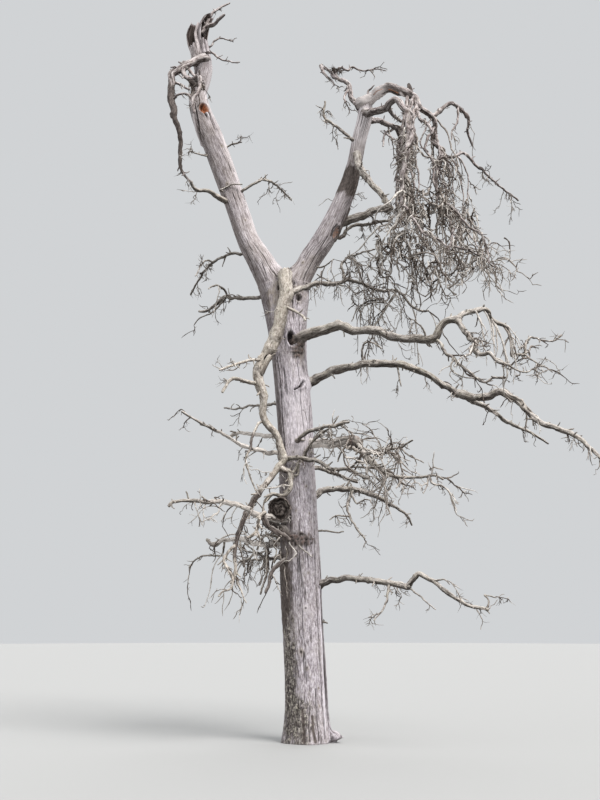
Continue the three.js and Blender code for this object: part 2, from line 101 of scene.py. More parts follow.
# Limbs: what each grows on and how far along it, the heading of the side of the stem it leaves, the radius at its foot and tip, and its runs
LIMBS = {
    "top_left_bough": ("left_leader", 4450, -61, (67, 48), [(50, -61, 6), (230, -155, -24), (455, -151, -43), (65, -135, -63), (700, -59, -82)]),
    "top_left_hanger": ("top_left_bough", 1505, None, (40, 16), [(270, 42, -60), (550, 85, -71), (270, 30, -47)]),
    "top_left_loop": ("top_left_bough", 550, None, (41, 23), [(220, -47, -65), (110, -23, -27), (145, -24, 7), (125, -43, -62), (140, -116, -74), (240, -149, -63), (280, -60, -75)]),
    "top_prong": ("left_leader", 4980, 0, (34, 13), [(200, 0, 66), (240, 41, 67), (195, 34, 49), (290, 39, 42)]),
    "left_leader_low_bough": ("left_leader", 1910, -141, (46, 23), [(85, -141, -24), (320, -146, 15), (180, -148, -5), (160, -136, 33)]),
    "left_leader_foot_bough": ("left_leader", 1130, 140, (26, 14), [(100, 140, -43), (245, 148, 5), (310, 146, -7), (125, 140, -22), (370, 126, -22), (325, 119, -30)]),
    "left_bough_upper": ("trunk", 6300, 169, (34, 20), [(130, 169, -2), (715, 148, 7), (75, 148, 21), (430, 144, -19), (140, 151, 7)]),
    "left_bough_hidden": ("trunk", 4700, 149, (23, 14), [(180, 149, -7), (490, 129, 7), (495, 130, 3), (320, 132, 11)]),
    "left_bough_middle": ("trunk", 3920, -160, (31, 12), [(180, -160, -2), (320, -131, -2), (330, -130, 4), (620, -125, 11), (160, -136, 13), (410, -155, 25)]),
    "left_bough_middle_back": ("trunk", 4200, 158, (30, 22), [(205, 158, -4), (680, 145, 11), (200, 141, -17)]),
    "left_bough_low": ("trunk", 2980, -136, (56, 21), [(545, -132, -1), (310, -129, 5), (95, -118, 24), (460, -136, 8), (225, -138, -3), (335, -159, 0), (120, -158, -15), (85, -152, -46)]),
    "left_bough_lowest": ("trunk", 2690, 167, (46, 23), [(105, 167, -7), (350, 143, -3), (215, 143, 7), (185, 142, 19), (365, 150, -1), (195, 147, -17), (165, 144, 34)]),
    "left_bough_lowest_back": ("trunk", 2460, 151, (28, 17), [(185, 151, -2), (690, 119, 2), (660, 121, -1)]),
    "hung_limb_upper": ((-320, -260, 6575), 0, None, (99, 73), [(385, -81, -73), (180, -150, -81), (470, -178, -76), (560, -173, -64)]),
    "hung_limb_middle": ("hung_limb_upper", 1595, None, (68, 52), [(100, 131, -84), (350, 19, -76), (290, 59, -85), (270, 8, -52), (370, 14, -72)]),
    "hung_limb_tip": ("hung_limb_middle", 1385, None, (52, 18), [(900, -161, -55), (555, -147, -70), (340, -79, -79), (140, -157, -63)]),
    "hung_limb_left_arm": ("hung_limb_middle", 210, None, (35, 20), [(135, -150, -7), (205, -148, 9), (90, -139, -5), (110, -130, -37), (250, -116, -48)]),
    "right_bough_top": ("trunk", 6220, -80, (44, 30), [(150, -79, 0), (585, 29, 26), (330, 31, 10), (175, 33, 31)]),
    "right_bough_top_outer": ("right_bough_top", 1255, None, (30, 17), [(675, 28, -7), (215, 19, 10), (405, 20, -41), (120, 14, -19), (110, 14, 13)]),
    "right_bough_top_rise": ("right_bough_top", 1200, None, (23, 14), [(350, 102, 65), (105, 40, 52), (160, 31, 35), (460, 28, 23)]),
    "right_bough_upper": ("trunk", 5500, -55, (76, 51), [(105, -56, 9), (155, -30, 31), (175, -28, 17), (365, -26, 4), (295, -25, -18), (215, -25, -7), (325, -25, -23), (300, -24, -12), (140, -13, -16), (185, -13, 5), (265, -24, 55), (190, -13, 7)]),
    "right_bough_upper_arm": ("right_bough_upper", 2690, None, (34, 17), [(180, 37, 39), (385, 33, 18), (95, 35, -6), (135, 54, -40), (280, 26, -18), (195, 51, -57), (240, 84, -65)]),
    "right_bough_upper_drop": ("right_bough_upper", 2690, None, (37, 17), [(380, -56, -53), (150, -42, -34), (175, -132, -51), (130, -43, -36), (120, -38, 0), (160, -52, -46), (225, -42, -29)]),
    "right_bough_upper_under": ("right_bough_upper", 2295, None, (25, 15), [(120, -45, -67), (470, -24, -48), (375, -21, -39), (125, -20, 23), (180, -18, -4)]),
    "right_bough_upper_end": ("right_bough_upper_arm", 1445, None, (19, 12), [(100, 30, -13), (155, 27, 7), (185, 72, 64), (155, 39, 48), (390, 27, 1), (255, 27, 29)]),
    "right_bough_long": ("trunk", 4880, -7, (67, 42), [(340, -16, 25), (320, -17, 18), (225, -17, 4), (150, -6, 15), (395, -6, -2), (205, -7, -13), (215, 6, -21), (700, 14, -27)]),
    "right_bough_long_outer": ("right_bough_long", 2555, None, (42, 14), [(565, 33, -16), (250, 36, -24), (510, 35, -13), (485, 36, -17)]),
    "right_bough_long_fork": ("right_bough_long", 2445, None, (42, 13), [(240, -35, -22), (235, -35, -5), (225, -37, 13), (800, -46, -41), (370, -41, -24), (955, -51, -40)]),
    "right_bough_middle": ("trunk", 4050, 0, (57, 61), [(665, -49, -5), (140, -39, -2), (210, -39, -11)]),
    "right_bough_middle_outer": ("right_bough_middle", 1015, None, (31, 15), [(430, -54, -42), (425, -47, -33), (365, -32, -8), (240, -31, 2), (130, -35, -29)]),
    "right_bough_middle_top": ("right_bough_middle", 1015, None, (23, 13), [(265, -61, -39), (370, -56, -8), (125, -61, 11), (325, -58, -1), (240, -64, 12)]),
    "right_bough_centre": ("trunk", 3810, -118, (38, 23), [(170, -118, -2), (430, -25, -7), (270, -28, -28), (260, -33, -7), (365, -35, -23)]),
    "right_bough_centre_back": ("trunk", 3740, 28, (36, 23), [(185, 36, 2), (945, 45, -8)]),
    "right_bough_low": ("trunk", 3270, 20, (50, 31), [(150, 34, 17), (150, 43, 34), (380, 36, 11), (570, 35, -4), (660, 38, -20), (150, 38, -28), (165, 55, -45)]),
    "right_bough_bottom": ("trunk", 2030, 0, (52, 37), [(240, -28, 15), (350, -36, 11), (160, -34, -1), (800, -31, -10)]),
    "right_bough_bottom_outer": ("right_bough_bottom", 1520, None, (36, 20), [(220, -35, 44), (80, -26, -17), (125, -28, -26), (150, -32, -38), (255, -24, -34), (160, -19, -26), (255, -19, -16)]),
    "crown_left_bough": ("right_leader", 3390, 180, (51, 17), [(35, -179, -29), (390, 142, 61), (110, 79, 75), (105, 150, 53), (285, 140, 38), (150, 128, 53), (305, 138, 43)]),
    "crown_left_fork": ("crown_left_bough", 890, None, (38, 13), [(110, 86, 79), (125, 22, 50), (130, 17, -14), (85, 22, 51), (230, 16, -4), (240, 16, 16), (130, 16, -4)]),
    "crown_top_bough": ("right_leader", 3450, 180, (71, 47), [(35, -179, -22), (260, -21, 16), (110, -26, 36), (100, -21, 18), (95, -11, -6), (285, 0, -21), (85, 1, -49), (130, -1, -71)]),
    "crown_right_bough": ("crown_top_bough", 1105, None, (47, 31), [(290, 18, -33), (85, 44, -65), (305, 105, -74)]),
    "crown_middle_bough": ("right_leader", 3250, -86, (67, 37), [(60, -85, -9), (420, -52, -12), (145, -60, 8), (70, -40, 9), (475, -45, -48)]),
    "crown_lower_bough": ("right_leader", 3200, 62, (50, 33), [(475, 58, 24), (565, 54, 11)]),
    "crown_far_bough": ("crown_right_bough", 255, None, (38, 16), [(145, 26, 30), (345, 28, 42), (315, 30, -26), (105, 59, -56), (125, 96, -61), (240, 50, -52)]),
    "curtain_inner_stem": ("crown_middle_bough", 1080, None, (40, 21), [(250, -106, -77), (140, -48, -74), (345, -131, -73), (260, -157, -78), (555, -180, -86)]),
    "curtain_outer_stem": ("crown_right_bough", 630, None, (37, 16), [(235, -22, -60), (545, -138, -75), (850, -41, -73), (325, -136, -75)]),
    "curtain_back_stem": ("crown_lower_bough", 1040, None, (37, 18), [(195, 59, -55), (280, 101, -61), (295, 63, -57), (310, 39, -44), (320, 116, -76), (370, 15, -55), (305, 10, -29), (225, 20, -61)]),
    "crown_long_twig": ("curtain_outer_stem", 245, None, (26, 14), [(150, 15, -22), (135, 14, 16), (95, 15, 38), (65, 14, -15), (110, 25, -54), (255, 20, -33), (190, 33, -33), (560, 29, -24)]),
    "right_leader_hooked_bough": ("right_leader", 2590, -84, (60, 36), [(60, -84, -16), (270, -74, -62), (495, -58, -55), (215, -42, -50), (305, -52, -58), (105, -34, -37)]),
    "right_leader_bark_bough": ("right_leader", 1540, 41, (70, 47), [(180, 14, 15), (310, 20, 27), (290, 32, 30), (120, 30, 19), (120, 36, -23)]),
    "right_leader_low_bough": ("right_leader", 1370, 51, (30, 21), [(70, 51, -28), (160, 24, 10), (180, 36, 54), (770, 24, 20), (100, 26, 48)]),
    "right_leader_gap_bough": ("right_leader", 2790, -110, (28, 16), [(390, -164, 35), (220, -177, 38), (80, 179, 74), (210, 0, 85)]),
    "back_bough_upper": ("trunk", 5150, 95, (64, 22), [(420, 95, 16), (520, 84, 6), (480, 101, -4), (380, 78, 10)]),
    "back_bough_middle": ("trunk", 4020, 84, (52, 17), [(400, 84, 9), (480, 98, -3), (420, 80, -12), (330, 104, 4)]),
    "back_bough_low": ("trunk", 3060, 101, (46, 16), [(380, 100, 5), (430, 86, -7), (380, 108, -13)]),
    "left_leader_back_bough": ("left_leader", 2320, 92, (44, 15), [(340, 94, 30), (380, 82, 22), (330, 104, 26)]),
    "right_leader_back_bough": ("right_leader", 2020, 88, (42, 15), [(330, 88, 26), (390, 97, 21), (340, 80, 25)]),
}

# Smaller side limbs, in the same terms
MINOR = {
    "top_stub": ("left_leader", 4980, 0, (43, 21), [(165, 0, 52), (105, -16, 19), (235, -19, 36)]),
    "leader_gap_bough": ("left_leader", 1990, -32, (25, 12), [(125, -31, 31), (280, 0, 35), (210, 56, 25), (430, 65, 9), (575, 69, 0)]),
    "left_bough_upper_fork": ("left_bough_upper", 895, None, (20, 12), [(135, -125, 42), (105, -137, 17), (80, -142, -2), (130, -136, -38)]),
    "left_low_hanger": ("trunk", 2410, -136, (35, 17), [(190, -135, -2), (295, -147, -43), (140, -103, -66), (150, -134, -56)]),
    "hung_limb_left_twig": ("hung_limb_upper", 1465, None, (24, 13), [(245, -131, -11), (345, -124, -21), (535, -114, -22)]),
    "hung_limb_spur": ("hung_limb_upper", 600, None, (24, 17), [(435, -38, -33), (100, -52, -55)]),
    "right_bough_top_hanger": ("right_bough_top_outer", 895, None, (23, 14), [(870, -136, -53)]),
    "right_bough_middle_hook": ("right_bough_middle", 1015, None, (23, 14), [(180, 48, -42), (120, 113, -37), (240, 128, -25)]),
    "right_bough_low_hanger": ("right_bough_low", 905, None, (24, 13), [(335, -128, -63), (430, -48, -56), (145, -37, -46)]),
    "right_stick_upper": ("trunk", 4050, -84, (24, 14), [(160, -84, 2), (190, -47, 30), (260, -39, 9), (260, -38, -3), (235, -41, 10)]),
    "top_twig_a": ("left_leader", 4680, 0, (19, 10), [(140, 15, 41), (225, 28, 53), (250, 21, -3)]),
    "top_twig_b": ("left_leader", 4560, -47, (22, 10), [(75, -47, 18), (90, -17, -22), (185, -20, -40), (195, -19, -28), (170, -17, -13)]),
    "top_loop_b": ("top_left_bough", 350, None, (28, 20), [(95, -98, -76), (145, -35, -63), (105, -21, -40)]),
    "top_loop_c": ("top_left_loop", 320, None, (32, 24), [(200, 55, -56)]),
    "top_loop_d": ("top_left_loop", 680, None, (24, 16), [(190, 75, 9)]),
    "top_loop_e": ("top_left_bough", 930, None, (24, 16), [(80, -13, -12), (275, -18, -32)]),
    "top_loop_f": ("top_left_bough", 1255, None, (21, 16), [(205, -16, 24), (160, -16, -31)]),
    "leader_stub_right": ("left_leader", 2830, -29, (19, 9), [(225, -17, 18), (140, -16, 3)]),
    "leader_stub_left": ("left_leader", 2750, -153, (19, 9), [(150, -153, -24), (250, -159, 11)]),
    "leader_ring_twig": ("left_leader", 2080, -133, (16, 11), [(180, -133, -14), (100, -3, 17), (90, -3, 27), (175, -3, 3)]),
    "foot_bough_strand": ("left_leader_foot_bough", 700, None, (16, 9), [(130, -140, 1), (465, -115, -49)]),
    "left_upper_low_twig": ("left_bough_upper", 920, None, (18, 9), [(320, 149, -40), (245, 157, -16), (130, 148, -42)]),
    "left_lowest_twig_a": ("left_bough_lowest", 1210, None, (18, 11), [(245, 111, -58), (245, 151, 1), (170, 150, -14), (130, 146, -31), (130, 131, -49)]),
    "left_lowest_twig_b": ("left_bough_lowest", 925, None, (18, 12), [(120, -79, -64), (140, -38, -38), (120, -31, -10)]),
    "left_hanging_strand": ("left_bough_lowest", 455, None, (22, 14), [(235, -80, -16), (360, -92, -77), (320, -137, -69)]),
    "hung_tip_cluster": ("hung_limb_tip", 1375, None, (23, 12), [(305, -144, -51), (160, -34, -51), (155, -49, -60), (120, -117, -63), (135, -155, -20), (75, -144, -48)]),
    "hung_tip_twig": ("hung_limb_tip", 1820, None, (16, 8), [(430, -47, -55)]),
    "trunk_dark_twig": ("trunk", 2600, -96, (18, 10), [(150, -95, 2), (350, -51, -31)]),
    "hung_hanging_twig": ("hung_limb_middle", 760, None, (17, 10), [(90, -152, -29), (310, -128, -58), (145, -98, -66), (105, -136, -52), (90, -179, -76), (450, 0, -71)]),
    "crossing_twig_up": ("hung_limb_tip", 120, None, (17, 10), [(265, 12, -27), (220, 35, 70), (145, 20, 63), (335, 11, 49), (180, 20, 68)]),
    "crossing_twig_down": ("hung_limb_tip", 120, None, (26, 14), [(195, 0, -38), (170, 0, -85), (135, -170, -49), (80, -167, -21), (95, -167, 22), (90, -165, -34), (90, -159, -56)]),
    "top_bough_twig_a": ("right_bough_top", 990, None, (17, 9), [(370, 144, 35)]),
    "top_bough_twig_b": ("right_leader", 770, 0, (16, 9), [(190, -43, -25), (305, -53, 7)]),
    "top_bough_twig_c": ("right_bough_top_outer", 765, None, (17, 9), [(195, -119, -68), (495, -157, -18), (330, -140, -58)]),
    "upper_end_twig_a": ("right_bough_upper_end", 210, None, (16, 9), [(50, -21, -15), (165, -30, -45), (155, -25, -30), (135, -30, -44)]),
    "upper_end_twig_b": ("right_bough_upper_drop", 1320, None, (14, 8), [(170, 21, -25), (120, 18, -4), (110, 21, 36), (195, 18, 15)]),
    "upper_cross_twig": ("right_bough_upper", 2140, None, (16, 10), [(215, -130, 47), (130, -144, 28)]),
    "upper_under_twig": ("right_bough_upper_under", 425, None, (15, 8), [(140, -138, -61), (115, -41, -61), (275, -22, -21)]),
    "long_rise_twig": ("right_bough_long", 1010, None, (20, 10), [(195, -105, 72), (90, -46, 64), (85, -20, 23), (225, -20, -32)]),
    "long_hanger": ("right_bough_long", 1465, None, (17, 10), [(340, 0, -80)]),
    "middle_outer_twig_a": ("right_bough_middle_top", 1040, None, (14, 8), [(180, -50, -39), (270, -44, -29)]),
    "middle_outer_twig_b": ("right_bough_middle_outer", 1385, None, (17, 9), [(125, -54, -59), (110, -27, -17), (130, -34, -41), (280, -57, -60)]),
    "stick_upper_b": ("trunk", 3820, -69, (18, 10), [(175, -69, 2), (145, -52, 53), (280, -37, 40), (265, -31, 23)]),
    "low_stub": ("right_bough_low", 770, None, (22, 15), [(135, 0, 68)]),
    "low_twig_a": ("right_bough_low", 850, None, (18, 9), [(285, -55, -55), (150, -35, 20), (100, -33, -12)]),
    "low_twig_b": ("right_bough_low_hanger", 480, None, (16, 9), [(240, -150, -3), (125, -146, -30)]),
    "trunk_thin_twig": ("trunk", 2820, 0, (17, 10), [(115, 0, 3), (145, -25, -2), (160, -25, -13), (125, -25, 5)]),
    "bottom_side_twig": ("right_bough_bottom_outer", 430, None, (15, 8), [(205, -38, -1), (90, -51, -40)]),
    "bottom_end_twig": ("right_bough_bottom_outer", 1235, None, (13, 8), [(125, 51, 73), (80, 157, 49), (175, 14, -11)]),
    "bottom_under_twig": ("right_bough_bottom", 1485, None, (15, 8), [(85, -27, -23), (460, -39, -36)]),
    "bottom_dark_stub": ("right_bough_bottom", 1260, None, (22, 8), [(335, -117, -61), (280, -142, -44)]),
    "trunk_spike": ("trunk", 1590, 0, (17, 7), [(155, 0, -4), (70, 0, -22)]),
    "crown_left_strand": ("crown_left_bough", 1370, None, (33, 11), [(195, -52, -65), (250, -34, -52), (90, -54, -66)]),
    "crown_dark_hanger": ("crown_left_bough", 495, None, (23, 11), [(275, -126, -56), (120, -81, -61)]),
    "crown_spike": ("crown_top_bough", 185, None, (24, 10), [(130, 0, 90), (155, 0, 48)]),
    "crown_dark_stub": ("crown_top_bough", 850, None, (27, 9), [(185, 180, 86)]),
    "crown_inner_bough": ("crown_middle_bough", 570, None, (37, 23), [(125, 52, -45), (215, 34, -23)]),
    "crown_inner_arc": ("crown_top_bough", 1035, None, (30, 20), [(350, -85, -70), (140, -34, -46), (260, -46, -59)]),
    "far_hanger": ("crown_far_bough", 625, None, (21, 11), [(245, -116, -74), (285, -143, -63), (150, -115, -73)]),
    "curtain_twig_a": ("curtain_inner_stem", 1525, None, (21, 11), [(185, -32, -51), (375, -39, -60), (140, -29, -43), (135, -24, -25), (115, -28, -43), (125, -39, -57)]),
    "curtain_twig_b": ("curtain_outer_stem", 1105, None, (22, 11), [(165, -19, -39), (515, -27, -54), (170, -21, -35), (510, -62, -73)]),
    "curtain_twig_c": ("curtain_outer_stem", 1880, None, (19, 11), [(450, 34, -4), (510, 36, -16)]),
    "curtain_left_twig": ("crown_lower_bough", 1015, None, (25, 13), [(225, -155, -34), (315, -122, -68)]),
    "curtain_left_twig_b": ("curtain_left_twig", 260, None, (20, 11), [(345, -44, -41)]),
    "hung_limb_break": ("hung_limb_upper", 1004, None, (74, 56), [(143, -141, -77), (148, -166, -74)]),
    "hung_limb_prong": ("hung_limb_middle", 121, None, (50, 42), [(146, -20, 53), (114, -10, 60), (96, 0, 56)]),
    "crossing_pale_a": ("left_bough_low", 618, None, (30, 20), [(134, -69, 15), (78, -159, -45), (100, 180, -69), (103, 126, -76), (73, 180, -45), (96, 167, -23)]),
    "crossing_pale_b": ("crossing_pale_a", 419, None, (16, 11), [(64, -29, -49), (70, -30, -74)]),
    "crossing_pale_c": ("left_bough_lowest", 242, None, (16, 11), [(143, -64, 39), (102, -33, 45), (70, 0, 68)]),
    "crossing_pale_d": ("crossing_pale_c", 240, None, (14, 9), [(79, -18, -34), (110, 16, -48), (99, 0, -45)]),
    "crossing_pale_e": ("left_bough_lowest", 73, None, (25, 14), [(161, -116, -46), (86, -124, -56), (75, -162, -28), (94, 180, -71)]),
    "crossing_pale_f": ("left_bough_lowest", 521, None, (17, 12), [(129, -66, 47), (80, -32, 18), (94, -12, -5), (112, 12, -34), (105, 37, -51)]),
    "crossing_pale_g": ("left_bough_lowest", 860, None, (14, 10), [(112, -48, -53), (100, -22, -37), (105, -15, -44), (101, 0, 21), (94, 29, 29)]),
    "crossing_pale_h": ("crossing_twig_down", 598, None, (16, 8), [(94, -29, -48), (59, -26, -38), (61, 0, -63)]),
    "left_lowest_arch": ("left_bough_low", 557, None, (14, 9), [(169, -103, 72), (113, -32, 60), (94, 0, 30), (79, 31, -6)]),
    "left_lowest_log_arm": ("left_bough_low", 593, None, (34, 30), [(123, -34, -55), (134, 0, -45), (128, 11, -31), (138, 20, -34)]),
    "middle_arm_a": ("right_bough_middle", 856, None, (30, 17), [(112, -38, -28), (122, -21, -46), (97, -9, -46), (135, 0, -54), (106, 14, -38), (127, 20, -22)]),
    "middle_arm_b": ("right_bough_middle", 893, None, (27, 15), [(175, -67, -42), (107, -27, -35), (109, -17, -51), (143, 0, -50), (109, 12, -28), (162, 23, -21), (151, 16, -19)]),
    "middle_arm_c": ("right_bough_middle", 954, None, (20, 12), [(131, -136, -57), (83, -156, 26), (63, 180, -49), (85, 154, -58), (86, 143, -67)]),
    "middle_arm_d": ("right_bough_middle_hook", 507, None, (16, 10), [(99, -24, 1), (112, -10, -9), (96, 7, -30), (127, 14, -48), (110, 23, -46)]),
    "middle_arm_e": ("right_bough_middle", 954, None, (22, 12), [(152, 37, -29), (106, 22, 0), (101, 12, -10), (89, 7, 19), (85, 7, -8), (127, -6, -42), (126, 0, -50)]),
    "middle_stick_a": ("right_stick_upper", 781, None, (14, 8), [(134, 9, 3), (103, 7, -36), (107, 0, -41), (89, -8, -40)]),
    "middle_stick_b": ("right_stick_upper", 805, None, (12, 6), [(166, -8, 25), (83, -7, 8)]),
    "middle_stick_c": ("right_stick_upper", 927, None, (10, 6), [(205, 10, -30), (140, 8, -7), (144, 8, -15)]),
    "middle_arm_f": ("middle_arm_a", 332, None, (18, 9), [(84, -38, -16), (120, -21, -46), (108, 0, -61), (127, 27, -69), (121, 125, -78)]),
    "middle_arm_g": ("middle_arm_e", 457, None, (12, 7), [(107, 146, 70), (90, 169, 53), (152, 173, 58), (112, 180, 30)]),
    "left_low_log": ("trunk", 2690, -128, (58, 52), [(150, -135, 20), (160, 170, 42), (150, 176, 34), (60, 170, 30)]),
    "curtain_column_a": ("crown_top_bough", 814, None, (32, 17), [(359, -124, -74), (236, -128, -78), (252, -138, -83), (240, 180, -82), (227, 78, -85), (240, 180, -78), (235, 180, -83), (224, 60, -84)]),
    "curtain_column_b": ("crown_top_bough", 923, None, (36, 18), [(374, -124, -63), (266, -120, -75), (234, -54, -84), (230, 180, -74), (251, 0, -86), (245, 157, -78), (255, 132, -84), (284, 49, -85)]),
    "curtain_column_c": ("crown_top_bough", 996, None, (30, 15), [(304, -123, -67), (250, -94, -81), (235, -138, -83), (225, 180, -79), (220, 0, -88), (261, -36, -82), (258, 153, -80)]),
    "curtain_column_d": ("crown_right_bough", 37, None, (19, 10), [(494, -124, -57), (322, -142, -66), (251, 0, -85), (218, 162, -73), (272, 149, -82), (559, 96, -84)]),
    "curtain_column_e": ("curtain_column_a", 595, None, (24, 12), [(309, 145, -77), (309, 129, -85), (209, 180, -79), (277, -43, -84), (319, -57, -86)]),
    "curtain_column_f": ("curtain_column_c", 557, None, (20, 11), [(214, 27, -78), (224, 180, -83), (233, -35, -81), (256, -75, -81), (217, -159, -75)]),
    "curtain_outer_a": ("crown_right_bough", 422, None, (24, 12), [(294, -142, -57), (179, -159, -72), (180, 0, -62), (179, 0, -77), (201, -139, -81), (214, 0, -72), (221, 180, -81)]),
    "curtain_outer_b": ("crown_right_bough", 484, None, (20, 11), [(234, -68, -74), (217, -66, -78), (209, -159, -74), (197, 0, -74), (206, 0, -67), (220, 180, -84)]),
    "curtain_outer_c": ("crown_right_bough", 273, None, (16, 9), [(313, -163, -64), (178, -171, -68), (181, -20, -62), (127, -16, -56)]),
    "curtain_hanging_a": ("crown_long_twig", 170, None, (15, 8), [(239, -31, -71), (223, -22, -76), (207, 0, -84), (253, 180, -85)]),
    "curtain_hanging_b": ("crown_long_twig", 267, None, (14, 8), [(160, -20, -57), (249, 0, -75), (191, 180, -88), (240, 180, -81), (275, 173, -73)]),
    "curtain_hanging_c": ("crown_long_twig", 73, None, (14, 8), [(226, -52, -74), (228, -32, -76), (238, 180, -85), (238, 0, -81)]),
    "curtain_hanging_d": ("curtain_hanging_b", 1117, None, (12, 6), [(148, -17, -62), (186, -6, -59), (225, -5, -57), (218, 0, -51), (164, 0, -16), (256, 6, -43)]),
    "hung_limb_spike_a": ("hung_limb_break", 266, None, (9, 4), [(100, -59, -21), (51, -11, 7)]),
    "hung_limb_spike_b": ("hung_limb_break", 291, None, (8, 4), [(92, -55, -22), (30, -19, 6)]),
    "crossing_link": ("crossing_twig_down", 232, None, (24, 19), [(130, 13, 49), (73, 0, 73), (70, -26, 49)]),
    "crossing_twig_rise": ("crossing_link", 274, None, (15, 10), [(100, -25, 62), (97, -22, 57), (99, -18, 48), (86, 0, 55), (115, 0, 53), (110, 0, 45)]),
    "left_low_nest_b": ("left_bough_lowest_back", 303, None, (21, 14), [(165, -115, -1), (149, -137, 8), (109, -149, 28), (146, 180, -41), (114, 180, -14)]),
    "left_low_nest_c": ("left_bough_lowest", 448, None, (15, 8), [(256, -87, -12), (166, -80, -52), (148, -87, -70), (125, -121, -79), (73, 180, -68)]),
    "left_low_nest_e": ("left_low_log", 249, None, (14, 9), [(224, -100, -25), (107, -116, -34), (71, -153, -51), (78, 0, -59), (68, 180, -79), (57, 180, -45)]),
    "left_low_nest_f": ("left_bough_lowest", 182, None, (12, 8), [(258, -102, 9), (106, -149, 25), (69, 180, -6), (88, 180, -39)]),
    "left_low_nest_g": ("crossing_pale_e", 25, None, (10, 6), [(267, -89, -21), (75, -44, -67), (83, 180, -81), (55, 180, -83)]),
    "left_low_nest_h": ("left_low_log", 461, None, (11, 8), [(177, -47, -1), (122, 0, -47)]),
    "left_low_nest_i": ("left_low_log", 486, None, (14, 9), [(180, -68, -44), (96, 0, -30)]),
    "top_loop_dark": ("top_left_loop", 330, None, (26, 17), [(126, -14, -50), (103, 0, -41), (84, 0, -24)]),
}

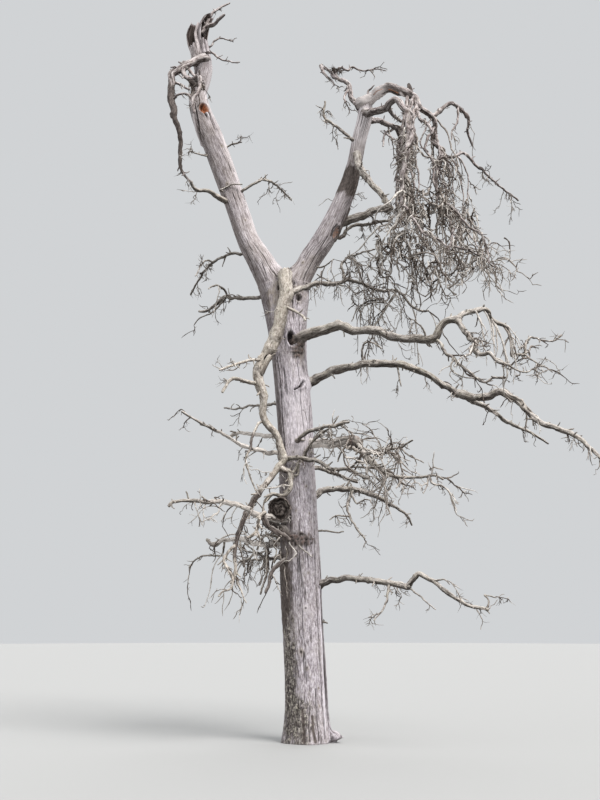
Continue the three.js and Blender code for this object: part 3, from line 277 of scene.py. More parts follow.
# Marks on the stems: kind, mm along, angle in degrees, half width and half height in mm, depth in mm
# hole: along, angle, half width, half height, depth, tone. slit: points of (along, angle), half width, depth (negative for a ridge), tone.
# patch: along, angle, half width, half height, roughness, tone. knot: along, angle, radius, height.
# A dark tone paints shade in a hole or slit; a pale tone lightens the wood, partly as painted highlight or painted
# light on shaded wood; a swell carries a painted highlight.
MARKS = dict(
    hung_limb_upper=[
        ("hole", 1430, -122, 26, 50, 44, "dark"),
    ],
    hung_limb_tip=[
        ("patch", 1050, -90, 500, 560, 3, "bark"),
    ],
    right_bough_middle=[
        # painted light on this bough, which the twigs above shade
        ("patch", 400, -90, 400, 520, 9, "pale"),
        ("patch", 975, -90, 400, 95, 16, "burl"),
        ("knot", 190, -74, 13, 3),
        ("knot", 300, -104, 13, 3),
        ("knot", 410, -72, 13, 3),
        ("knot", 480, -112, 12, 3),
        ("knot", 590, -84, 13, 3),
    ],
    right_bough_upper=[
        ("patch", 60, -90, 400, 140, 10, "burl"),
    ],
    crown_dark_stub=[
        ("patch", 100, -90, 400, 400, 3, "bark"),
    ],
    left_hanging_strand=[
        ("patch", 300, -90, 400, 500, 2, "bark"),
    ],
    hung_hanging_twig=[
        ("patch", 440, -90, 400, 150, 4, "bark"),
    ],
    left_bough_middle=[
        ("patch", 700, -90, 400, 900, 6, "pale"),
    ],
    left_bough_middle_back=[
        ("patch", 500, -90, 400, 700, 6, "pale"),
    ],
    left_bough_low=[
        ("patch", 800, -90, 400, 900, 5, "pale"),
    ],
    left_bough_lowest=[
        ("patch", 700, -90, 400, 900, 6.5, "pale"),
    ],
    crown_top_bough=[
        ("patch", 260, -90, 400, 330, 5.5, "pale"),
        ("slit", [(290, 74), (389, 66), (462, 74), (534, 92), (632, 96), (720, 100)], 26, 5, "bark"),
        ("slit", [(330, 84), (389, 80), (450, 86)], 5, 3, "rust"),
        ("slit", [(560, 112), (632, 112), (690, 118)], 5, 3, "rust"),
        ("slit", [(717, 112), (760, 140), (789, 178)], 14, -8, "pale"),
        ("slit", [(690, 132), (740, 165), (770, 196)], 12, 16, "dark"),
        ("slit", [(430, 150), (560, 140), (660, 128)], 10, 14, "dark"),
    ],
    crown_right_bough=[
        ("patch", 560, -90, 400, 130, 12, "burl"),
    ],
    top_left_hanger=[
        ("patch", 330, -90, 400, 640, 5, "bark"),
    ],
    left_low_hanger=[
        ("patch", 400, -90, 400, 520, 4, "bark"),
    ],
    top_loop_c=[
        ("patch", 100, -90, 400, 300, 3, "bark"),
    ],
    top_loop_d=[
        ("patch", 100, -90, 400, 300, 3, "bark"),
    ],
    top_loop_dark=[
        ("patch", 100, -90, 400, 300, 3, "bark"),
    ],
    top_left_bough=[
        ("patch", 1330, -90, 400, 420, 6, "bark"),
    ],
    left_low_log=[
        ("patch", 220, -90, 500, 500, 12, "bark"),
    ],
    left_lowest_log_arm=[
        ("patch", 220, -90, 500, 500, 8, "bark"),
    ],
    left_leader=[
        ("hole", 3510, -68, 76, 98, 90, "rust"),
        ("slit", [(3425, -80), (3385, -76), (3345, -73)], 11, 20, "dark"),
        ("slit", [(3430, -56), (3370, -53), (3320, -53)], 13, 24, "dark"),
        ("slit", [(3440, -68), (3385, -66), (3320, -64)], 13, -14, "pale"),
        # a pale strand standing out, with a painted shadow along its side
        ("slit", [(3800, -150), (3660, -136), (3530, -135), (3350, -148), (3220, -165), (3000, -180)], 24, -24, "pale"),
        ("slit", [(3640, -116), (3460, -116), (3300, -127), (3150, -146), (3000, -168)], 14, 22, "dark"),
        ("slit", [(3700, -30), (3500, -25), (3286, -26), (2997, -24)], 12, 18, "dark"),
        # painted shade where the loops and the leader's left edge lie in shadow: this bark patch, the hole below it and
        # the slits from 4117 and 4010
        ("patch", 4050, -146, 120, 130, 6, "bark"),
        ("hole", 3975, -134, 52, 92, 30, "dark"),
        ("slit", [(500, -50), (373, -72), (290, -80)], 11, 18, "dark"),
        ("slit", [(4117, -150), (4000, -140), (3900, -136)], 19, 16, "dark"),
        ("slit", [(4010, -64), (3975, -54), (3940, -44)], 16, 18, "dark"),
        ("slit", [(4700, -66), (4560, -72), (4405, -92)], 13, 26, "dark"),
        ("knot", 2790, -60, 26, 10),
        ("knot", 2140, -100, 30, 9),
        ("knot", 1500, -72, 18, 6),
        ("slit", [(250, -60), (600, -74), (1100, -80)], 7, 8, "dark"),
    ],
    right_leader=[
        ("slit", [(575, -156), (515, -141), (440, -129)], 17, 24, "dark"),
        ("hole", 1374, -40, 50, 100, 26, "wound"),
        ("slit", [(1290, -60), (1400, -66), (1480, -58)], 16, 14, "dark"),
        ("slit", [(1800, -14), (1660, -12), (1519, -16), (1380, -14), (1280, -10)], 24, -20, "bark"),
        ("slit", [(1700, -30), (1540, -34), (1450, -33)], 12, 16, "dark"),
        ("patch", 2180, -60, 480, 250, 7, "bark"),
        # painted light on the leader's top, which the crown boughs shade
        ("patch", 3050, -88, 300, 420, 7, "pale"),
        ("knot", 723, -109, 24, 9),
        ("slit", [(500, -66), (900, -70), (1250, -74)], 8, 9, "dark"),
        ("slit", [(700, -40), (1000, -46), (1200, -48)], 6, 8, "dark"),
    ],
    trunk=[
        ("hole", 5572, -80, 62, 116, 105, "dark"),
        ("patch", 5395, -60, 125, 125, 24, "burl"),
        ("swell", 4915, -36, 150, 120, 24),
        ("hole", 6185, -50, 52, 56, 80, "dark"),
        ("slit", [(4925, -52), (4890, -56), (4855, -63)], 21, 54, "dark"),
        ("slit", [(4860, -62), (4830, -71), (4808, -84)], 12, 34, "dark"),
        ("knot", 4946, -12, 52, 26),
        ("patch", 3454, -128, 56, 150, 5, "tan"),
        ("patch", 2690, -84, 200, 112, 32, "burl"),
        ("patch", 2560, -112, 150, 180, 3, "tan"),
        ("patch", 6230, -114, 260, 420, 6, "tan"),
        ("patch", 6300, -50, 150, 220, 5, "tan"),
        ("patch", 5380, -48, 130, 190, 6, "tan"),
        ("patch", 2030, -160, 200, 620, 7, "bark"),
        ("knot", 1757, -81, 32, 13),
        ("swell", 1757, -81, 60, 70, 7),
        ("knot", 1179, -100, 46, 12),
        ("knot", 975, -86, 30, 12),
        ("knot", 481, -56, 18, 8),
        ("knot", 710, -57, 18, 8),
        ("knot", 3418, -64, 22, 9),
        ("knot", 3081, -99, 18, 8),
        ("knot", 3044, -56, 18, 8),
        ("patch", 4400, -76, 250, 900, 3, "pale"),

        ("knot", 2230, -68, 20, 6),
        ("knot", 3900, -100, 24, 7),
        ("patch", 800, -142, 170, 1250, 7, "flake"),
        ("patch", 300, -112, 230, 400, 4, "flake"),
        # the trunk's right edge: a broad recess painted dark as its shaded side, and a pale ridge with a painted
        # highlight on its rim
        ("slit", [(190, -18), (600, -15), (1200, -14), (1950, -12), (2450, -10)], 74, 28, "dark"),
        ("slit", [(150, -42), (600, -38), (1200, -36), (2000, -33)], 13, -10, "pale"),
        ("slit", [(60, -44), (600, -46), (1200, -47), (1900, -44), (2600, -40), (3000, -37)], 8, 12, "dark"),
        ("slit", [(60, -24), (500, -30), (1400, -31), (2300, -28)], 7, 9, "dark"),
        ("slit", [(40, -62), (300, -64), (700, -66)], 9, 12, "dark"),
        ("slit", [(30, -72), (180, -75), (360, -77)], 13, 4, "bark"),
        ("slit", [(30, -96), (230, -98), (430, -101)], 15, 4, "bark"),
        ("slit", [(40, -84), (220, -86), (480, -83)], 8, 10, "dark"),
        ("slit", [(1350, -92), (1700, -90), (2150, -88)], 6, 9, "dark"),
        ("slit", [(6540, -59), (6470, -60), (6385, -63)], 18, 26, "dark"),
        ("slit", [(6300, -112), (6470, -106)], 16, 12, "dark"),
        ("slit", [(6120, -76), (6300, -70), (6480, -62)], 20, 30, "dark"),
        ("slit", [(3900, -128), (4400, -134), (4900, -130), (5300, -134)], 10, 10, "dark"),
        ("slit", [(4100, -60), (4600, -66), (5100, -64), (5400, -68)], 6, 8, "dark"),
        ("knot", 5470, -50, 60, 30),
    ],
)
# Rough burls on boughs: limb, part of the length, swell as a part of the radius, tone
BURLS = [
    ("right_bough_middle", 0.93, 0.6, "knobby"),
    ("right_bough_upper", 0.05, 0.3, "knobby"),
    ("crown_far_bough", 0.62, 0.55, "knobby"),
    ("right_leader_low_bough", 0.12, 0.3, "bark"),
    ("left_bough_upper", 0.45, 0.3, "bark"),
    ("crown_top_bough", 0.3, 0.3, "bark"),
    ("crown_top_bough", 0.62, 0.35, "knobby"),
    ("hung_limb_middle", 0.17, 0.12, "plain"),
    ("hung_limb_middle", 0.95, 0.35, "plain"),
]

# ---- Small helpers ----
def smooth(a, b, x):
    t = np.clip((x - a) / (b - a), 0, 1)
    return t * t * (3 - 2 * t)


def unit(v):
    return v / np.maximum(np.linalg.norm(v, axis=-1, keepdims=True), 1e-12)


def wrap(a):
    return (a + np.pi) % (2 * np.pi) - np.pi


_deal = np.random.default_rng(71)
_GRAD = unit(_deal.normal(size=(256, 3)))
_PERM = _deal.permutation(256)


def noise(x, y, z, seed=0):
    """Gradient noise, about -0.8 to 0.8."""
    x, y, z = np.broadcast_arrays(x, y, z)
    xi, yi, zi = (np.floor(c).astype(np.int64) for c in (x, y, z))
    xf, yf, zf = x - xi, y - yi, z - zi
    u, v, w = (f * f * f * (f * (f * 6 - 15) + 10) for f in (xf, yf, zf))
    total = 0
    for dx in (0, 1):
        hx = _PERM[(xi + dx + 31 * seed) & 255]
        wx = u if dx else 1 - u
        for dy in (0, 1):
            hy = _PERM[(hx + yi + dy) & 255]
            wy = v if dy else 1 - v
            for dz in (0, 1):
                g = _GRAD[_PERM[(hy + zi + dz) & 255]]
                wz = w if dz else 1 - w
                total = total + wx * wy * wz * (g[..., 0] * (xf - dx) + g[..., 1] * (yf - dy) + g[..., 2] * (zf - dz))
    return total * 1.5


def fbm(x, y, z, octaves, seed=0):
    total, share = 0, 1.0
    for i in range(octaves):
        total = total + share * noise(x * 2**i, y * 2**i, z * 2**i, seed + i)
        share *= 0.5
    return total


# ---- Limb axes ----
def step_of(length, heading, rise):
    h, r = math.radians(heading), math.radians(rise)
    return length / 1000 * np.array([math.cos(h) * math.cos(r), math.sin(h) * math.cos(r), math.sin(r)])


def through(points, per_span=16):
    """A smooth centripetal curve through the points."""
    p = [np.asarray(q, float) for q in points]
    if len(p) == 2:
        return p[0] + (p[1] - p[0]) * np.linspace(0, 1, per_span + 1)[:, None]
    out = []
    for i in range(len(p) - 1):
        p1, p2 = p[i], p[i + 1]
        p0 = p[i - 1] if i > 0 else 2 * p[0] - p[1]
        p3 = p[i + 2] if i + 2 < len(p) else 2 * p[-1] - p[-2]
        d0, d1, d2 = (max(np.sum((a - b) ** 2) ** 0.25, 1e-9) for a, b in ((p0, p1), (p1, p2), (p2, p3)))
        t1 = ((p1 - p0) / d0 - (p2 - p0) / (d0 + d1) + (p2 - p1) / d1) * d1
        t2 = ((p2 - p1) / d1 - (p3 - p1) / (d1 + d2) + (p3 - p2) / d2) * d1
        t = np.linspace(0, 1, per_span + 1)[:, None]
        span = p1 + t1 * t + (-3 * p1 + 3 * p2 - 2 * t1 - t2) * t**2 + (2 * p1 - 2 * p2 + t1 + t2) * t**3
        out.append(span if i == 0 else span[1:])
    return np.concatenate(out)


class Limb:
    """An axis with its own frame and girth. wander bends the axis a little, as gnarled wood does."""

    def __init__(self, name, points, radius, level=False, wander=0.0, seed=0):
        self.name, self.radius, self.level = name, radius, level
        rough = through(points)
        s = np.concatenate([[0], np.cumsum(np.linalg.norm(np.diff(rough, axis=0), axis=1))])
        self.length = float(s[-1])
        n = max(12, int(self.length / 0.012))
        self.s = np.linspace(0, self.length, n)
        p = np.stack([np.interp(self.s, s, rough[:, k]) for k in range(3)], 1)
        if wander:
            r = radius(self.s)
            wave = 5.5 * float(np.mean(r)) + 0.04
            free = smooth(0, 6 * r[0], self.s) * smooth(0, 0.08, self.length - self.s + 0.03)
            for k in range(3):
                p[:, k] += wander * r * free * (fbm(self.s / wave, seed * 3.7 + k * 11.3, 0.5, 2, 5) * 1.6)
        self.p = p
        T = unit(np.gradient(p, axis=0))
        if level:
            N = np.tile([1.0, 0, 0], (n, 1))
            B = np.tile([0.0, 1, 0], (n, 1))
        else:
            ref = np.array([0, 0, 1.0]) if abs(T[0, 2]) < 0.85 else np.array([1.0, 0, 0])
            N = np.zeros_like(p)
            v = ref
            for i in range(n):
                v = v - (v @ T[i]) * T[i]
                v = v / np.linalg.norm(v)
                N[i] = v
            B = np.cross(T, N)
        self.T, self.N, self.B = T, N, B

    def at(self, s):
        """Place and frame along the axis. Past either end the axis runs straight on."""
        p, T, N, B = (np.stack([np.interp(s, self.s, a[:, k]) for k in range(3)], -1) for a in (self.p, self.T, self.N, self.B))
        past = np.asarray(s) - np.clip(s, 0, self.length)
        return [p + T * past[..., None], T, N, B]

    def girth(self, s, angle=None):
        return self.radius(s)


def trunk_girth(s, angle):
    r = np.interp(s, *zip(*[(a / 1000, b / 1000) for a, b in STEMS["trunk"]["girth"]]))
    r = r * (1 + FLARE["swell"] * np.exp(-s / FLARE["height"]) * (1 + FLARE["rib_depth"] * np.cos(FLARE["ribs"] * angle + FLARE["turn"])))
    off = wrap(angle - math.radians(ROOT_NUB["heading"])) / ROOT_NUB["width"]
    r = r + ROOT_NUB["reach"] * np.clip(1 - off**2 - ((s - ROOT_NUB["middle"]) / ROOT_NUB["height"]) ** 2, 0, 1) ** 0.55
    f = smooth(FORK["start"], FORK["end"], s)
    return r * np.hypot((1 + (FORK["wider"] - 1) * f) * np.cos(angle), (1 + (FORK["flatter"] - 1) * f) * np.sin(angle))


def make_axes():
    axes = {}
    for name, row in STEMS.items():
        pts = [np.array(row["foot"]) / 1000]
        for run in row["runs"]:
            pts.append(pts[-1] + step_of(*run))
        xs, ys = (np.array(c) / 1000 for c in zip(*row["girth"]))
        axes[name] = Limb(name, pts, lambda s, xs=xs, ys=ys: np.interp(s, xs, ys), level=name == "trunk")
        axes[name].parent, axes[name].along = (None, 0) if name == "trunk" else ("trunk", 6.1)
        axes[name].bare_foot = False
    for k, (name, (on, along, face, r, runs)) in enumerate({**LIMBS, **MINOR}.items()):
        if isinstance(on, tuple):
            foot, parent = np.array(on) / 1000, None
        else:
            parent = on
            up = axes[on]
            a = min(along / 1000, up.length)
            foot = np.array([np.interp(a, up.s, up.p[:, c]) for c in range(3)])
            if face is not None:
                h = math.radians(face)
                foot = foot + SPREAD * float(up.radius(a)) * np.array([math.cos(h), math.sin(h), 0])
        pts = [foot]
        for run in runs:
            pts.append(pts[-1] + step_of(*run))
        length = sum(run[0] for run in runs) / 1000
        r0, r1 = (SLIMMER.get(name, 1) * x / 1000 for x in r)
        swell = 0 if face is None else FOOT_SWELL

        waist = WAISTS.get(name, [(0, 1), (1, 1)])

        def radius(s, r0=r0, r1=r1, length=length, swell=swell, waist=waist):
            s = np.asarray(s, float)
            return np.interp(s / length, *zip(*waist)) * SLIM * (r0 * (1 + swell * np.exp(-s / (2.2 * r0))) + (r1 - r0) * np.clip(s / length, 0, 1))

        axes[name] = Limb(name, pts, radius, wander=0.15 if name.startswith("hung_limb") else 0.45 if r[0] > 30 else 0.7, seed=k + 1)
        axes[name].bare_foot = face is None
        axes[name].parent, axes[name].along = parent, along / 1000 if along else 0
    return axes


AXES = make_axes()


CHILDREN = {}
for _name, _limb in AXES.items():
    CHILDREN.setdefault(_limb.parent, []).append(_name)


def girth_of(limb, s, angle):
    return trunk_girth(s, angle) if limb.name == "trunk" else limb.radius(s)


# ---- Meshes from arrays ----
class Soup:
    """Grids and caps gathered into one mesh, with what each point carries."""

    # cavity carries painted shade in hollows, checks, creases and knot pits; under carries painted shade on undersides
    # and shaded sides; pale carries painted highlight, besides pale wood
    FIELDS = ("cavity_shade", "rust", "bark", "flake", "tan", "under", "pale")

    def __init__(self):
        self.verts, self.faces, self.grain, self.count = [], {}, [], 0
        self.fields = {f: [] for f in self.FIELDS}

    def points(self, v, grain, **fields):
        v = v.reshape(-1, 3)
        self.verts.append(v)
        self.grain.append(grain.reshape(-1, 3))
        for f in self.FIELDS:
            x = fields.get(f)
            self.fields[f].append(np.zeros(len(v)) if x is None else np.broadcast_to(x, v.shape[:1]) if np.ndim(x) == 0 else x.reshape(-1))
        self.count += len(v)
        return self.count - len(v)

    def poly(self, a):
        a = np.asarray(a, np.int64)
        if len(a):
            self.faces.setdefault(a.shape[1], []).append(a)

    def grid(self, V, grain, caps=True, **fields):
        """A closed tube of rings V[n, m] with a centre point at each end."""
        n, m = V.shape[:2]
        base = self.points(V, grain, **fields)
        i, j = np.meshgrid(np.arange(n - 1), np.arange(m), indexing="ij")
        a, b = base + i * m + j, base + i * m + (j + 1) % m
        self.poly(np.stack([a, b, b + m, a + m], -1).reshape(-1, 4))
        if caps:
            for ring, turned in ((0, True), (n - 1, False)):
                c = self.points(V[ring].mean(0), grain[ring].mean(0), **{f: np.array([float(np.mean(x[ring]))]) for f, x in fields.items() if np.ndim(x)})
                k = np.arange(m)
                p, q = base + ring * m + k, base + ring * m + (k + 1) % m
                tri = np.stack([q, p, np.full(m, c)] if turned else [p, q, np.full(m, c)], -1)
                self.poly(tri)

    def mesh(self, name):
        me = bpy.data.meshes.new(name)
        v = np.concatenate(self.verts).astype(np.float32)
        blocks = [np.concatenate(b) for _, b in sorted(self.faces.items())]
        sizes = np.concatenate([np.full(len(b), b.shape[1]) for b in blocks])
        loops = np.concatenate([b.ravel() for b in blocks]).astype(np.int32)
        me.vertices.add(len(v))
        me.vertices.foreach_set("co", v.ravel())
        me.loops.add(len(loops))
        me.loops.foreach_set("vertex_index", loops)
        me.polygons.add(len(sizes))
        me.polygons.foreach_set("loop_start", np.concatenate([[0], np.cumsum(sizes)[:-1]]).astype(np.int32))
        me.polygons.foreach_set("use_smooth", np.ones(len(sizes), bool))
        me.update(calc_edges=True)
        me.validate()
        a = me.attributes.new("grain", "FLOAT_VECTOR", "POINT")
        a.data.foreach_set("vector", np.concatenate(self.grain).astype(np.float32).ravel())
        for f, parts in self.fields.items():
            x = np.concatenate(parts).astype(np.float32)
            if np.any(x > 0):
                me.attributes.new(f, "FLOAT", "POINT").data.foreach_set("value", x)
        o = bpy.data.objects.new(name, me)
        bpy.context.scene.collection.objects.link(o)
        self.triangles = int(np.sum(sizes - 2))
        return o


PIECES = []


def piece(soup, name, material, nodes=()):
    o = soup.mesh(name)
    o.data.materials.append(material)
    if nodes:
        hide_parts(*nodes)
    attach(o, "root")
    PIECES.append((name, soup.triangles))
    return o


# ---- How limbs grow together ----
def off_surface(V, limb, upto=None):
    """How far each point is outside a limb's plain tube."""
    keep = slice(None) if upto is None else limb.s <= upto
    p, s, N, B = limb.p[keep], limb.s[keep], limb.N[keep], limb.B[keep]
    skip = max(1, int(0.3 * float(limb.radius(0.0)) / 0.012))
    p, s, N, B = p[::skip], s[::skip], N[::skip], B[::skip]
    out = np.empty(len(V))
    for k in range(0, len(V), 20000):
        v = V[k : k + 20000]
        d2 = (v**2).sum(1)[:, None] - 2 * v @ p.T + (p**2).sum(1)
        i = d2.argmin(1)
        w = v - p[i]
        angle = np.arctan2((w * B[i]).sum(1), (w * N[i]).sum(1))
        out[k : k + 20000] = np.sqrt(np.maximum(d2[np.arange(len(v)), i], 0)) - girth_of(limb, s[i], angle)
    return out


def fillet(V, radial, limb):
    """Pushes a limb's surface out where it meets what it grows from and what grows from it, so that they join in a smooth collar."""
    push = np.zeros(V.shape[:-1])
    crease = np.zeros(V.shape[:-1])
    flat = V.reshape(-1, 3)
    near = []
    if limb.parent:
        up = AXES[limb.parent]
        k = 0.17 if limb.name in STEMS else 0.95 * float(limb.radius(0.1))
        near.append((up, k, None, limb.p[0], float(up.radius(limb.along)) * 1.3 + 5 * float(limb.radius(0.0)) + k))
    for name in CHILDREN.get(limb.name, []):
        child = AXES[name]
        k = 0.17 if name in STEMS else 0.95 * float(child.radius(0.1))
        reach = float(limb.radius(child.along)) * 1.3 + 5 * float(child.radius(0.0)) + k
        near.append((child, k, reach, child.p[0], reach))
    if limb.name in ("left_leader", "right_leader"):
        other = AXES["right_leader" if limb.name == "left_leader" else "left_leader"]
        near.append((other, 0.15, 1.4, other.p[0], 1.5))
    for other, k, upto, centre, reach in near:
        close = np.linalg.norm(flat - centre, axis=1) < reach
        if not close.any():
            continue
        d = off_surface(flat[close], other, upto)
        h = np.clip(1 - np.abs(d) / k, 0, 1)
        p = np.zeros(len(flat))
        p[close] = h * h * k / 4
        c = np.zeros(len(flat))
        c[close] = np.clip(1 - np.abs(d) / (0.35 * k), 0, 1)
        push = np.maximum(push, p.reshape(push.shape))
        crease = np.maximum(crease, c.reshape(push.shape))
    return push, crease


# ---- Relief ----
def ridge(x):
    return 1 - 2 * np.abs(x)


def checks(limb, n, TH, S, R, width):
    """Drying cracks of an even width, in metres, along the zero lines of a field over the stem."""
    across_ = (np.roll(n, -1, 1) - np.roll(n, 1, 1)) / (2 * R * 2 * np.pi / n.shape[1])
    along_ = np.gradient(n, S[:, 0], axis=0)
    away = np.abs(n) / np.maximum(np.hypot(across_, along_), 0.6)
    return 1 - smooth(0.35 * width, width, away)


def stem_relief(limb, S, TH, R, seed):
    """Weathered, barkless wood: broad undulations, flutes, grain and long checks. Gives the height and how deep in a check a point is."""
    mean = float(np.mean(limb.radius(limb.s)))
    turn = TH + 0.12 * S
    c, n = np.cos(turn), np.sin(turn)

    def grain(width, run, k):
        q = mean / width
        return noise(c * q, n * q, S / run, seed + k)

    h = 0.011 * grain(0.24, 0.8, 1) + 0.004 * ridge(grain(0.10, 1.5, 2)) * smooth(-0.1, 0.3, grain(0.4, 1.1, 3))
    h = h + 0.0022 * grain(0.045, 0.30, 4) + 0.0020 * grain(0.020, 0.12, 5)
    lines = np.zeros_like(h)
    for width, run, cut, depth, k in ((0.11, 1.3, 0.010, 0.010, 6), (0.06, 0.8, 0.008, 0.007, 7), (0.035, 0.45, 0.007, 0.005, 8)):
        gate = smooth(0.16, 0.36, grain(0.20, 0.45, k + 10))
        line = checks(limb, grain(width, run, k), TH, S, R, cut) * gate
        h = h - depth * line
        lines = np.maximum(lines, line * (0.95 if k == 6 else 0.8 if k == 7 else 0.6))
    return h, lines


def bough_relief(limb, S, TH, R, seed):
    mean = float(np.mean(limb.radius(limb.s)))
    turn = TH + 0.9 * S
    c, n = np.cos(turn), np.sin(turn)

    def grain(width, run, k):
        q = mean / width
        return noise(c * q, n * q, S / run, seed + k)

    w = mean
    plain = limb.name.startswith("hung_limb")
    if plain:
        h = R * (0.20 * grain(1.5 * w, 3.0 * w, 1) + 0.05 * ridge(grain(0.75 * w, 5 * w, 2)) - 0.02 + 0.10 * grain(0.45 * w, 0.8 * w, 3) + 0.05 * grain(0.2 * w, 0.4 * w, 9))
        return limb_knots(limb, S, TH, R, seed, w, h, 0.5 * (1 - smooth(0.02, 0.08, np.abs(grain(0.7 * w, 9 * w, 5)))) * smooth(0.1, 0.3, grain(1.5 * w, 5 * w, 4)))
    h = R * (0.27 * grain(1.6 * w, 3.4 * w, 1) + 0.15 * ridge(grain(0.75 * w, 7 * w, 2)) - 0.07 + 0.11 * grain(0.40 * w, 1.5 * w, 3))
    gate = smooth(-0.05, 0.25, grain(1.5 * w, 8 * w, 4))
    line = (1 - smooth(0.03, 0.16, np.abs(grain(0.7 * w, 12 * w, 5)))) * gate
    h = h - R * 0.16 * line
    return limb_knots(limb, S, TH, R, seed, w, h, line * 0.85)


def limb_knots(limb, S, TH, R, seed, w, h, lines):
    """Knots along a bough, each a low swelling with a sunk middle."""
    rng = np.random.default_rng(900 + seed)
    at, gap = 0.10, 0.06 + 2.4 * w
    while at < limb.length - 0.04:
        face, size, tall = rng.uniform(-np.pi, np.pi), rng.uniform(0.4, 0.85), rng.uniform(0.16, 0.52)
        e2 = ((S - at) / (size * w * 1.25)) ** 2 + (wrap(TH - face) / (size * 1.0)) ** 2
        h = h + R * tall * np.exp(-e2)
        if rng.random() < 0.55:
            pit = np.exp(-e2 * 9)
            h = h - R * tall * 0.9 * pit
            lines = np.maximum(lines, pit)
        at += gap * rng.uniform(0.4, 1.7)
    return h, lines


def segment_distance(x, y, pts):
    best = np.full(x.shape, 1e9)
    for (x0, y0), (x1, y1) in zip(pts[:-1], pts[1:]):
        dx, dy = x1 - x0, y1 - y0
        t = np.clip(((x - x0) * dx + (y - y0) * dy) / max(dx * dx + dy * dy, 1e-12), 0, 1)
        best = np.minimum(best, np.hypot(x - x0 - t * dx, y - y0 - t * dy))
    return best


